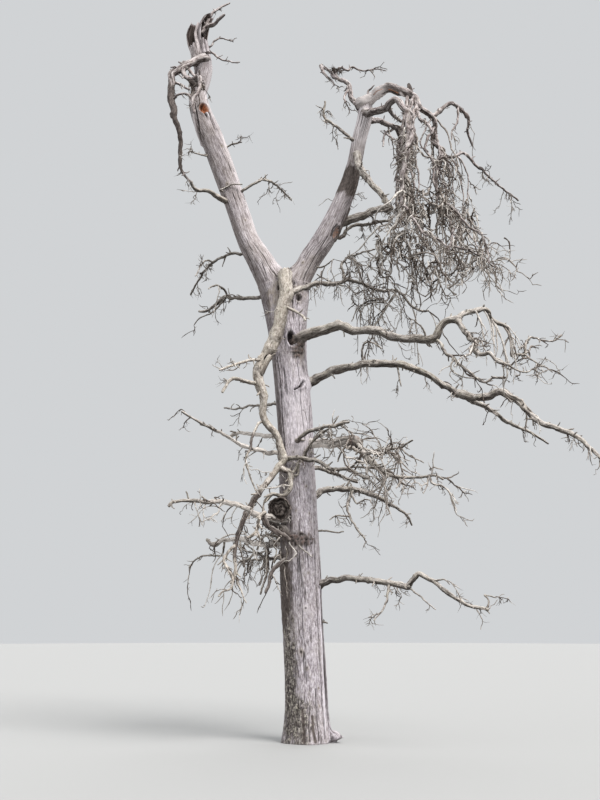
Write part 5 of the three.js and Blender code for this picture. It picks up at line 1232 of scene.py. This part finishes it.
# Tangles of twigs: region, shares of the tones, the middle (a point, or a limb and a part of its length), half sizes in metres, how many
TANGLES = [
    ("left", (6, 3, 4), (-0.46, -0.26, 2.84), (0.13, 0.13, 0.22), 10, dict(reach=(0.16, 0.42), droop=0.4, kink=0.38, hook=0.4, thick=28, side=0.9, spurs=0.6)),
    ("right", (3, 4, 5), ("right_bough_middle_outer", 0.30), (0.42, 0.26, 0.20), 10, dict(reach=(0.3, 0.9), droop=0.4, kink=0.32, hook=0.4, thick=18, side=2.2, spurs=1.0)),
    ("curtain", (3, 4, 6), (1.42, -0.75, 8.05), (0.11, 0.16, 0.60), 15, dict(reach=(0.25, 0.8), droop=1.6, kink=0.42, hook=0.4, thick=26, side=3, spurs=1.0, lean=(-60, -82, 0.55))),
    ("curtain", (3, 4, 6), (2.05, -0.30, 8.15), (0.24, 0.26, 0.50), 11, dict(reach=(0.3, 1.0), droop=1.6, kink=0.36, hook=0.4, thick=18, side=3, spurs=1.0, lean=(-25, -70, 0.5))),
    ("curtain", (3, 4, 6), (1.74, -0.40, 7.55), (0.46, 0.36, 0.34), 46, dict(reach=(0.3, 1.0), droop=1.1, kink=0.48, hook=0.6, thick=25, side=2.8, spurs=0.9, lean=(-20, -60, 0.35))),
    ("curtain", (3, 4, 5), (2.30, -0.10, 7.35), (0.44, 0.40, 0.40), 20, dict(reach=(0.4, 1.1), droop=1.1, kink=0.44, hook=0.6, thick=21, side=2.8, spurs=0.9, lean=(-12, -50, 0.45))),
    ("curtain", (3, 4, 5), (1.40, -0.30, 6.98), (0.42, 0.36, 0.32), 36, dict(reach=(0.3, 0.9), droop=1.0, kink=0.46, hook=0.6, thick=19, side=2.8, spurs=0.9, lean=(-60, -55, 0.3))),
    ("curtain", (3, 4, 4), (2.00, -0.10, 6.75), (0.60, 0.45, 0.34), 24, dict(reach=(0.3, 1.1), droop=0.9, kink=0.44, hook=0.6, thick=17, side=2.8, spurs=0.9, lean=(-15, -40, 0.4))),
    ("curtain", (3, 4, 4), (2.75, 0.15, 6.95), (0.50, 0.40, 0.36), 12, dict(reach=(0.3, 1.1), droop=0.9, kink=0.42, hook=0.6, thick=14, side=2.6, spurs=0.9, lean=(-15, -35, 0.4))),
    ("curtain", (3, 4, 4), (0.98, 0.20, 6.55), (0.40, 0.40, 0.30), 22, dict(reach=(0.3, 0.9), droop=0.6, kink=0.44, hook=0.6, thick=12, side=3, spurs=1.0)),
    ("crown", (1, 0, 0), ("crown_left_fork", 0.14), (0.11, 0.10, 0.05), 20, dict(reach=(0.04, 0.12), droop=0.8, kink=0.5, hook=0.6, thick=9, side=1.5, spurs=1.5)),
    ("crown", (1, 0, 0), ("crown_far_bough", 0.52), (0.04, 0.05, 0.03), 5, dict(reach=(0.03, 0.10), droop=0.8, kink=0.5, hook=0.6, thick=11, side=1.0, spurs=1.0)),
]

TONES = ("dark", "grey", "pale")


class Twigs:
    def __init__(self):
        self.soups = {}
        self.count = {}

    def add(self, key, paths, radii, sides):
        if key not in self.soups:
            self.soups[key] = Soup()
            self.count[key] = 0
        tubes(self.soups[key], paths, radii, sides, offset=0.77 * self.count[key])
        self.count[key] += len(paths)

    def deal(self, rng, region, shares, paths, radii, sides):
        pick = rng.choice(len(TONES), size=len(paths), p=np.array(shares) / np.sum(shares))
        for i, tone in enumerate(TONES):
            m = pick == i
            if m.any():
                self.add(f"{region}_twigs_{tone}", paths[m], radii[m], sides)
        return pick


def side_starts(rng, paths, radii, per, low=0.15):
    """Where the next order of twigs starts: points on each path, with the direction there."""
    K, n = paths.shape[:2]
    count = np.maximum(rng.poisson(per, K) if np.ndim(per) else rng.poisson(per, K), 0)
    which = np.repeat(np.arange(K), count)
    f = rng.uniform(low, 0.98, len(which)) * (n - 1)
    i = np.minimum(f.astype(int), n - 2)
    w = (f - i)[:, None]
    start = paths[which, i] * (1 - w) + paths[which, i + 1] * w
    along = unit(paths[which, i + 1] - paths[which, i])
    r = radii[which, i] * (1 - w[:, 0]) + radii[which, i + 1] * w[:, 0]
    return which, start, along, r


def across(rng, along, spread=(0.5, 1.25)):
    """A direction that leaves along at an angle, to a random side."""
    side = rng.normal(size=along.shape)
    side = unit(side - (side * along).sum(-1, keepdims=True) * along)
    a = rng.uniform(*spread, len(along))[:, None]
    return unit(np.cos(a) * along + np.sin(a) * side)


def clear(paths, radii, *more):
    keep = ~in_opening(paths[:, 1:]).any(1)
    return (paths[keep], radii[keep], *(m[keep] for m in more))


def spray(twigs, rng, region, shares, start, heading, limb_r, o):
    """Twigs of three orders from these starts."""
    K = len(start)
    if not K:
        return
    n = o.get("n", 13)
    length = rng.uniform(*o["reach"], K) * rng.choice([0.55, 1.0, 1.25], K, p=[0.3, 0.5, 0.2])
    lean = o.get("lean")
    if lean:
        h, r = math.radians(lean[0]), math.radians(lean[1])
        d = np.array([math.cos(h) * math.cos(r), math.sin(h) * math.cos(r), math.sin(r)])
        heading = unit(heading * (1 - lean[2]) + d * lean[2])
    paths = grow(rng, start, heading, length, n, np.full(K, o["droop"]) * rng.uniform(0.5, 1.4, K), np.full(K, o["kink"]), rng.uniform(0, o["hook"] * 2, K))
    r0 = np.minimum(o["thick"] / 1000 * rng.uniform(0.75, 1.2, K) * (0.55 + 0.45 * length / o["reach"][1]), limb_r * 0.8)
    radii = taper(rng, K, n, r0, np.maximum(r0 * 0.45, 0.0046))
    paths, radii = clear(paths, radii)
    twigs.deal(rng, region, shares, paths, radii, 5)
    # second order
    which, s2, a2, r2 = side_starts(rng, paths, radii, o["side"])
    if len(s2):
        k2 = len(s2)
        L2 = rng.uniform(0.22, 0.62, k2) * np.mean(o["reach"]) * o.get("side_reach", 1.0)
        p2 = grow(rng, s2, across(rng, a2), L2, 7, np.full(k2, o["droop"]) * rng.uniform(0.2, 1.2, k2), np.full(k2, o["kink"] * 1.15), rng.uniform(0, o["hook"] * 2, k2))
        q0 = np.minimum(r2 * 0.85, 0.0135)
        q = taper(rng, k2, 7, q0, np.maximum(q0 * 0.6, 0.0044))
        p2, q = clear(p2, q)
        twigs.deal(rng, region, shares, p2, q, 4)
        # short spurs
        which, s3, a3, r3 = side_starts(rng, p2, q, o.get("spurs", 1.6), 0.1)
        k3 = len(s3)
        if k3:
            p3 = grow(rng, s3, across(rng, a3, (0.6, 1.4)), rng.uniform(0.03, 0.14, k3), 3, np.full(k3, 0.2), np.full(k3, 0.35), rng.uniform(0, 1, k3))
            g0 = np.minimum(r3 * 0.9, 0.0072)
            p3, g = clear(p3, taper(rng, k3, 3, g0, g0 * 0.65))
            twigs.deal(rng, region, shares, p3, g, 3)
    which, s4, a4, r4 = side_starts(rng, paths, radii, o.get("spurs", 1.6) * 1.5, 0.05)
    k4 = len(s4)
    if k4:
        p4 = grow(rng, s4, across(rng, a4, (0.7, 1.5)), rng.uniform(0.03, 0.12, k4), 3, np.full(k4, 0.1), np.full(k4, 0.35), rng.uniform(0, 1, k4))
        g0 = np.minimum(r4 * 0.8, 0.0075)
        p4, g = clear(p4, taper(rng, k4, 3, g0, g0 * 0.6))
        twigs.deal(rng, region, shares, p4, g, 3)


def stubs(soup, limb, seed):
    """Short, snapped-off spurs along a bough."""
    rng = np.random.default_rng(3000 + seed)
    r_mean = float(np.mean(limb.radius(limb.s)))
    count = rng.poisson(max(0.0, limb.length - 0.15) / (0.10 + 1.6 * r_mean))
    if r_mean < 0.013 or not count:
        return
    s = np.sort(rng.uniform(0.12, 0.97, count)) * limb.length
    p, T, N, B = limb.at(s)
    a = rng.uniform(-np.pi, np.pi, count)
    out = np.cos(a)[:, None] * N + np.sin(a)[:, None] * B
    r = limb.radius(s)
    lift = rng.uniform(0.5, 1.4, count)[:, None]
    heading = unit(out * np.sin(lift) + T * np.cos(lift) + np.array([0, 0, 0.15]))
    long = rng.uniform(0.015, 0.10, count) * rng.choice([1.0, 1.6], count, p=[0.8, 0.2]) + 0.8 * r
    paths = grow(rng, p + out * (0.4 * r)[:, None], heading, long, 5, np.zeros(count), np.full(count, 0.22), np.zeros(count))
    r0 = np.minimum(rng.uniform(0.007, 0.018, count), 0.55 * r)
    k = np.array([1.25, 1.0, 0.85, 0.75, 0.6])[None]
    tubes(soup, paths, r0[:, None] * k * (1 + 0.15 * rng.normal(size=(count, 5)).clip(-1, 1)), 6, offset=0.31 * seed)


def spread_over(rng, limb, o):
    """Seeded starts along a limb, on its surface, with headings that leave it."""
    lo = o.get("start", 0.25) * limb.length
    hi = o.get("stop", 1.0) * limb.length
    count = max(1, rng.poisson((hi - lo) / o["every"]))
    s = np.sort(rng.uniform(lo, hi, count))
    p, T, N, B = limb.at(s)
    a = rng.uniform(-np.pi, np.pi, count)
    out = np.cos(a)[:, None] * N + np.sin(a)[:, None] * B
    r = limb.radius(s)
    lift = rng.uniform(0.35, 1.1, count)[:, None]
    return p + out * (0.7 * r)[:, None], unit(out * np.sin(lift) + T * np.cos(lift)), r


def grow_twigs():
    twigs = Twigs()
    for k, (pattern, region, shares, o) in enumerate(SPRAYS):
        for name, limb in AXES.items():
            if re.fullmatch(pattern, name):
                rng = np.random.default_rng(5000 + 97 * k + sum(map(ord, name)))
                start, heading, r = spread_over(rng, limb, o)
                spray(twigs, rng, region, shares, start, heading, r, o)
    for k, (region, shares, middle, half, count, o) in enumerate(TANGLES):
        rng = np.random.default_rng(8000 + k)
        ball = unit(rng.normal(size=(count, 3))) * rng.uniform(0.2, 1, (count, 1)) ** 0.6
        if isinstance(middle[0], str):
            middle = AXES[middle[0]].at(np.array([middle[1] * AXES[middle[0]].length]))[0][0]
        start = np.array(middle) + ball * np.array(half)
        round_it = unit(np.cross(ball, rng.normal(size=(count, 3))) - 0.35 * ball)
        spray(twigs, rng, region, shares, start, round_it, np.full(count, 0.02), o)
    return twigs


# ---- Materials ----
def lin(r, g, b):
    return tuple((c / 12.92 if c <= 0.04045 else ((c + 0.055) / 1.055) ** 2.4) for c in (r / 255, g / 255, b / 255)) + (1.0,)


# under is the colour of the painted shade on undersides and on the sides away from the light
def weathered(name, tones, under=(66, 56, 50), bark=((56, 49, 47), (116, 106, 101)), rust=((132, 78, 50), (206, 142, 104)), crack_and_shade=(38, 31, 27),
              warm=None, warm_share=0.35, streak=0.016, run=0.32, lichen=0.0, rough=0.82, bump=0.004, fine=0.0055, mottle=0.05, patchy=0.28, splits=0.78):
    """Dead wood: streaks along the grain, broad mottling, dark checks, and where marked bark, rust-brown heartwood and
    flaking with lichen. It also paints shade in hollows, on undersides and on the sides away from the light, and
    lightens the wood where marked pale, partly as a painted highlight.
    """
    mat = bpy.data.materials.new(name)
    mat.use_nodes = True
    nt = mat.node_tree
    nt.nodes.clear()
    new, link = nt.nodes.new, nt.links.new
    out, bsdf = new("ShaderNodeOutputMaterial"), new("ShaderNodeBsdfPrincipled")
    link(bsdf.outputs[0], out.inputs[0])
    bsdf.inputs["Specular IOR Level"].default_value = 0.28
    grain = new("ShaderNodeAttribute")
    grain.attribute_name = "grain"

    def scaled(x, y, z, shift=0.0):
        m = new("ShaderNodeMapping")
        m.inputs["Scale"].default_value = (x, y, z)
        m.inputs["Location"].default_value = (shift, shift * 0.7, shift * 1.3)
        link(grain.outputs["Vector"], m.inputs["Vector"])
        return m.outputs[0]

    def field(width, length, detail=4.0, roughness=0.6, shift=0.0, distortion=0.0):
        t = new("ShaderNodeTexNoise")
        t.inputs["Scale"].default_value = 1.0
        t.inputs["Detail"].default_value = detail
        t.inputs["Roughness"].default_value = roughness
        t.inputs["Distortion"].default_value = distortion
        link(scaled(1 / width, 1 / width, 1 / length, shift), t.inputs["Vector"])
        return t.outputs[0]

    def ramp(value, stops):
        r = new("ShaderNodeValToRGB")
        e = r.color_ramp.elements
        while len(e) < len(stops):
            e.new(0.5)
        for k, (at, colour) in enumerate(stops):
            e[k].position, e[k].color = at, colour
        link(value, r.inputs[0])
        return r.outputs[0]

    def step(value, a, b, lo=0.0, hi=1.0):
        m = new("ShaderNodeMapRange")
        m.interpolation_type = "SMOOTHSTEP"
        for k, x in zip((1, 2, 3, 4), (a, b, lo, hi)):
            m.inputs[k].default_value = x
        link(value, m.inputs[0])
        return m.outputs[0]

    def maths(kind, a, b):
        m = new("ShaderNodeMath")
        m.operation = kind
        for k, x in enumerate((a, b)):
            if isinstance(x, (int, float)):
                m.inputs[k].default_value = x
            else:
                link(x, m.inputs[k])
        return m.outputs[0]

    def mix(factor, a, b, kind="MIX"):
        m = new("ShaderNodeMix")
        m.data_type, m.blend_type = "RGBA", kind
        for k, x in ((0, factor), (6, a), (7, b)):
            if isinstance(x, (int, float, tuple)):
                m.inputs[k].default_value = x
            else:
                link(x, m.inputs[k])
        return m.outputs[2]

    def carried(field_name):
        a = new("ShaderNodeAttribute")
        a.attribute_name = field_name
        return a.outputs["Fac"]

    streaks = field(streak, run, 5.0, 0.66)
    hairs = field(fine, run * 0.35, 3.0, 0.6, 3.0)
    broad = field(0.30, 0.75, 3.0, 0.5, 7.0)
    blotch = field(mottle, mottle * 2.0, 4.0, 0.68, 11.0)
    both = maths("ADD", maths("MULTIPLY", streaks, 1 - patchy), maths("MULTIPLY", blotch, patchy))
    dark, mid, pale, bright = (lin(*t) for t in tones)
    colour = ramp(both, [(0.385, dark), (0.46, mid), (0.53, pale), (0.62, bright)])
    if warm:
        colour = mix(maths("MULTIPLY", step(broad, 0.44, 0.60), warm_share), colour, lin(*warm))
    colour = mix(step(hairs, 0.38, 0.47, 0.6, 0.0), colour, mix(0.55, colour, lin(*crack_and_shade), "MULTIPLY"))
    split = maths("ABSOLUTE", maths("SUBTRACT", field(2.2 * streak, 2.4 * run, 1.5, 0.5, 43.0), 0.5), 0.0)
    where = step(field(5 * streak, 1.2 * run, 2.0, 0.5, 47.0), 0.45, 0.56)
    split = maths("MULTIPLY", step(split, 0.003, 0.016, 1.0, 0.0), where)
    colour = mix(maths("MULTIPLY", split, splits), colour, lin(*crack_and_shade))
    if lichen:
        crust = field(0.035, 0.045, 5.0, 0.72, 19.0)
        colour = mix(maths("MULTIPLY", step(crust, 0.53, 0.60), lichen), colour, lin(192, 189, 172))
        specks = field(0.014, 0.020, 3.0, 0.7, 37.0)
        colour = mix(maths("MULTIPLY", step(specks, 0.42, 0.35), min(1.0, 1.5 * lichen)), colour, lin(62, 54, 47))
    colour = mix(maths("MULTIPLY", carried("tan"), step(blotch, 0.36, 0.60, 0.35, 1.0)), colour, lin(148, 134, 108))
    # painted shade: undersides and sides away from the light darken towards the under colour
    colour = mix(maths("MULTIPLY", carried("under"), step(streaks, 0.30, 0.62, 1.0, 0.72)), colour, lin(*under))
    # painted highlight where marked pale, besides pale wood
    colour = mix(carried("pale"), colour, bright)
    # flaking and lichen
    scales = field(0.024, 0.034, 4.0, 0.72, 23.0, 0.6)
    flaky = ramp(scales, [(0.38, lin(46, 40, 37)), (0.47, lin(92, 84, 78)), (0.54, lin(138, 130, 120)), (0.59, lin(206, 200, 184)), (0.70, lin(150, 147, 130))])
    colour = mix(maths("MULTIPLY", carried("flake"), step(scales, 0.30, 0.52, 1.0, 0.75)), colour, flaky)
    barky = ramp(field(0.012, 0.05, 5.0, 0.7, 29.0), [(0.36, lin(*bark[0])), (0.62, lin(*bark[1])), (0.74, lin(150, 134, 118))])
    colour = mix(carried("bark"), colour, mix(carried("pale"), barky, bright))
    rusty = ramp(field(0.010, 0.06, 4.0, 0.6, 31.0), [(0.36, lin(*rust[0])), (0.62, lin(*rust[1]))])
    colour = mix(carried("rust"), colour, rusty)
    # painted shade: hollows, checks and creases darken towards the crack and shade colour
    colour = mix(maths("MULTIPLY", carried("cavity_shade"), 0.92), colour, lin(*crack_and_shade))
    link(colour, bsdf.inputs["Base Color"])
    link(step(streaks, 0.3, 0.7, rough + 0.1, rough - 0.08), bsdf.inputs["Roughness"])
    height = maths("SUBTRACT", maths("ADD", maths("MULTIPLY", streaks, 0.7), maths("ADD", maths("MULTIPLY", hairs, 0.25), maths("MULTIPLY", blotch, 0.4))), maths("MULTIPLY", split, 0.35))
    b = new("ShaderNodeBump")
    b.inputs["Strength"].default_value = 0.95
    b.inputs["Distance"].default_value = bump
    link(height, b.inputs["Height"])
    link(b.outputs[0], bsdf.inputs["Normal"])
    return mat


def plain_floor():
    mat = bpy.data.materials.new("floor")
    mat.use_nodes = True
    nt = mat.node_tree
    bsdf = nt.nodes["Principled BSDF"]
    bsdf.inputs["Roughness"].default_value = 0.9
    bsdf.inputs["Specular IOR Level"].default_value = 0.1
    t = nt.nodes.new("ShaderNodeTexNoise")
    t.inputs["Scale"].default_value = 0.35
    r = nt.nodes.new("ShaderNodeValToRGB")
    r.color_ramp.elements[0].color = (0.36, 0.36, 0.355, 1)
    r.color_ramp.elements[1].color = (0.40, 0.40, 0.395, 1)
    nt.links.new(t.outputs[0], r.inputs[0])
    nt.links.new(r.outputs[0], bsdf.inputs["Base Color"])
    return mat


# ---- The scene ----
def make_camera():
    data = bpy.data.cameras.new("camera")
    data.lens, data.sensor_width, data.sensor_fit = 45, 36, "AUTO"
    data.clip_end = 200
    o = bpy.data.objects.new("camera", data)
    o.location = tuple(EYE)
    o.rotation_euler = (math.radians(102.4), 0, 0)
    bpy.context.scene.collection.objects.link(o)
    bpy.context.scene.camera = o


def area_light(name, place, aim, size, watts, colour):
    data = bpy.data.lights.new(name, "AREA")
    data.shape, data.size, data.energy, data.color = "DISK", size, watts, colour
    o = bpy.data.objects.new(name, data)
    o.location = place
    d = np.array(aim, float) - np.array(place, float)
    flat = math.hypot(d[0], d[1])
    o.rotation_euler = (math.atan2(flat, -d[2]), 0, math.atan2(-d[0], d[1]))
    bpy.context.scene.collection.objects.link(o)


def sun(name, azimuth, height, strength, angle, colour):
    """A soft, even light from a compass side (0 is the viewer's side, 90 the right) and a height in degrees."""
    data = bpy.data.lights.new(name, "SUN")
    data.energy, data.angle, data.color = strength, math.radians(angle), colour
    o = bpy.data.objects.new(name, data)
    o.rotation_euler = (math.radians(90 - height), 0, math.radians(azimuth))
    bpy.context.scene.collection.objects.link(o)


def make_light():
    sun("key", 46, 50, 4.0, 32, (1.0, 0.985, 0.97))
    sun("fill", -60, 35, 0.45, 60, (0.95, 0.97, 1.0))
    sun("rear", 165, 60, 0.9, 40, (0.98, 0.99, 1.0))
    world = bpy.data.worlds.new("studio")
    world.use_nodes = True
    world.node_tree.nodes["Background"].inputs[0].default_value = (0.86, 0.88, 0.90, 1)
    world.node_tree.nodes["Background"].inputs[1].default_value = 0.74
    bpy.context.scene.world = world


def make_floor():
    me = bpy.data.meshes.new("floor")
    n, radius = 96, 60.0
    v = [(radius * math.cos(2 * math.pi * k / n), radius * math.sin(2 * math.pi * k / n), 0.0) for k in range(n)]
    me.from_pydata(v, [], [list(range(n))])
    me.materials.append(plain_floor())
    o = bpy.data.objects.new("floor", me)
    bpy.context.scene.collection.objects.link(o)


GROUPS = [
    ("hung_limb", r"hung_limb.*|hung_tip.*|hung_hanging_twig|crossing_.*", "hung_wood", "hung"),
    ("top_boughs", r"top_(left|prong|stub|twig|loop).*", "crown_wood", "crown"),
    ("left_boughs", r"left_(bough|low|upper|lowest|hanging).*|trunk_dark_twig", "bough_wood", "bough"),
    ("left_leader_boughs", r"left_leader_.*|leader_.*|foot_bough_strand", "bough_wood", "bough"),
    ("right_upper_boughs", r"right_bough_(top|upper).*|top_bough_.*|upper_.*", "bough_wood", "bough"),
    ("right_middle_boughs", r"right_bough_(long|middle|centre).*|long_.*|middle_.*|right_stick_.*|stick_.*", "bough_wood", "bough"),
    ("right_low_boughs", r"right_bough_(low|bottom).*|low_.*|bottom_.*|trunk_.*", "bough_wood", "bough"),
    ("right_leader_boughs", r"right_leader_.*", "bough_wood", "bough"),
    ("crown_boughs", r"crown_.*|far_hanger", "crown_wood", "crown"),
    ("curtain_stems", r"curtain_.*", "crown_wood", "crown"),
    ("back_boughs", r"back_bough_.*", "bough_wood", "bough"),
]

# under gives the colour of the painted shade on undersides and shaded sides; where it is not given, the shader uses
# (66, 56, 50)
WOOD = {
    "trunk": dict(tones=((104, 95, 98), (160, 151, 156), (200, 192, 198), (236, 229, 235)), warm=(178, 168, 160), warm_share=0.18, lichen=0.16, streak=0.0085, run=0.075, patchy=0.34, mottle=0.034, splits=0.55),
    "leader": dict(tones=((104, 94, 95), (150, 141, 142), (184, 175, 178), (220, 213, 214)), warm=(178, 167, 155), warm_share=0.20, lichen=0.12, streak=0.009, run=0.17, patchy=0.28, mottle=0.05, splits=0.6),
    "hung": dict(tones=((98, 88, 80), (162, 152, 143), (196, 187, 178), (224, 217, 209)), warm=(188, 177, 160), warm_share=0.28, lichen=0.45, streak=0.010, run=0.05, bump=0.004, mottle=0.024, patchy=0.62, splits=0.35),
    "bough": dict(tones=((66, 57, 52), (138, 129, 122), (184, 176, 169), (220, 213, 207)), under=(38, 31, 27), warm=(160, 150, 130), warm_share=0.22, lichen=0.45, streak=0.010, run=0.10, bump=0.004, mottle=0.035, patchy=0.45),
    "crown": dict(tones=((58, 49, 46), (134, 121, 119), (190, 180, 178), (226, 219, 217)), under=(40, 32, 29), warm=(136, 118, 110), warm_share=0.24, lichen=0.30, streak=0.010, run=0.10, bump=0.004, mottle=0.035, patchy=0.45),
    "dark": dict(tones=((40, 33, 29), (64, 55, 49), (98, 87, 79), (142, 130, 121)), warm=None, streak=0.006, run=0.05, bump=0.002, fine=0.003, mottle=0.02, patchy=0.5),
    "grey": dict(tones=((76, 66, 60), (128, 118, 110), (172, 163, 155), (208, 200, 192)), warm=None, streak=0.006, run=0.05, bump=0.002, fine=0.003, mottle=0.02, patchy=0.5),
    "pale": dict(tones=((136, 126, 116), (194, 186, 178), (222, 216, 209), (239, 234, 228)), warm=None, streak=0.006, run=0.05, bump=0.002, fine=0.003, mottle=0.02, patchy=0.5),
}

HORNS = [
    dict(points=[(-1.60, 0.205, 10.08), (-1.572, 0.22, 10.22), (-1.606, 0.22, 10.441), (-1.632, 0.21, 10.582), (-1.632, 0.20, 10.724), (-1.606, 0.20, 10.866), (-1.545, 0.20, 10.985), (-1.480, 0.20, 11.045)],
         radii=[(0, 0.088), (0.3, 0.068), (0.5, 0.070), (0.72, 0.092), (0.9, 0.080), (1, 0.045)], face=-38, open=(0.50, 66, 104), seed=11),
    dict(points=[(-1.66, 0.215, 10.06), (-1.70, 0.24, 10.242), (-1.748, 0.24, 10.453), (-1.790, 0.24, 10.595), (-1.806, 0.24, 10.737), (-1.765, 0.24, 10.935)],
         radii=[(0, 0.085), (0.3, 0.096), (0.6, 0.100), (0.85, 0.090), (1, 0.06)], face=-118, open=(0.52, 30, 64), seed=17),
]


# A round, dark burl with an open end, low on the left of the trunk
BOWL = dict(points=[(-0.33, -0.10, 3.10), (-0.37, -0.30, 3.09), (-0.385, -0.50, 3.07)], radii=[(0, 0.10), (0.4, 0.135), (0.8, 0.155), (1, 0.135)], seed=23)


def rim_of(face, cut):
    low, full, edge = cut

    def rim(angle):
        off = np.degrees(np.abs(wrap(angle - math.radians(face))))
        return low + (1 - low) * smooth(full, edge, off)

    return rim


def build():
    mats = {k: weathered("wood_" + k, **w) for k, w in WOOD.items()}

    for name, sides, step, upto, look in (("trunk", 200, 0.0225, None, "trunk"), ("left_leader", 144, 0.0195, 4.52, "leader"), ("right_leader", 124, 0.018, None, "leader")):
        soup = Soup()
        skin(soup, AXES[name], sides, step, {"trunk": 1, "left_leader": 2, "right_leader": 3}[name], upto=upto, stem=True, tip="none" if name == "trunk" else "broken")
        if name == "left_leader":
            for horn in HORNS:
                shell(soup, horn["points"], horn["radii"], rim_of(horn["face"], horn["open"]), horn["seed"], floor=0.14)
        piece(soup, name, mats[look], [name])

    done = set(STEMS)
    for group, pattern, slot, look in GROUPS:
        soup, nodes = Soup(), []
        for k, (name, limb) in enumerate(AXES.items()):
            if name in done or not re.fullmatch(pattern, name):
                continue
            done.add(name)
            if name in LIMBS:
                nodes.append(name)
            r0 = float(limb.radius(0.05))
            sides = int(np.clip(2 * math.pi * r0 / 0.0110 + 3, 8, 38))
            step = float(np.clip(0.36 * r0, 0.0100 if r0 > 0.03 else 0.0132, 0.020))
            skin(soup, limb, sides, step, 10 + k)
            stubs(soup, limb, 10 + k)
        if group == "left_boughs":
            shell(soup, BOWL["points"], BOWL["radii"], lambda angle: 0.95 + 0 * angle, BOWL["seed"], wall=0.030, floor=0.74, bark=0.92, rings=2)
        piece(soup, group, mats[look], nodes)
    left = set(AXES) - done
    if left:
        raise RuntimeError(f"limbs in no group: {sorted(left)}")

    twigs = grow_twigs()
    for key, soup in twigs.soups.items():
        tone = key.rsplit("_", 1)[1]
        piece(soup, key, mats[tone])


make_camera()
make_light()
make_floor()
build()
bpy.context.scene.view_settings.view_transform = "Standard"
print("triangles", sum(t for _, t in PIECES), PIECES)
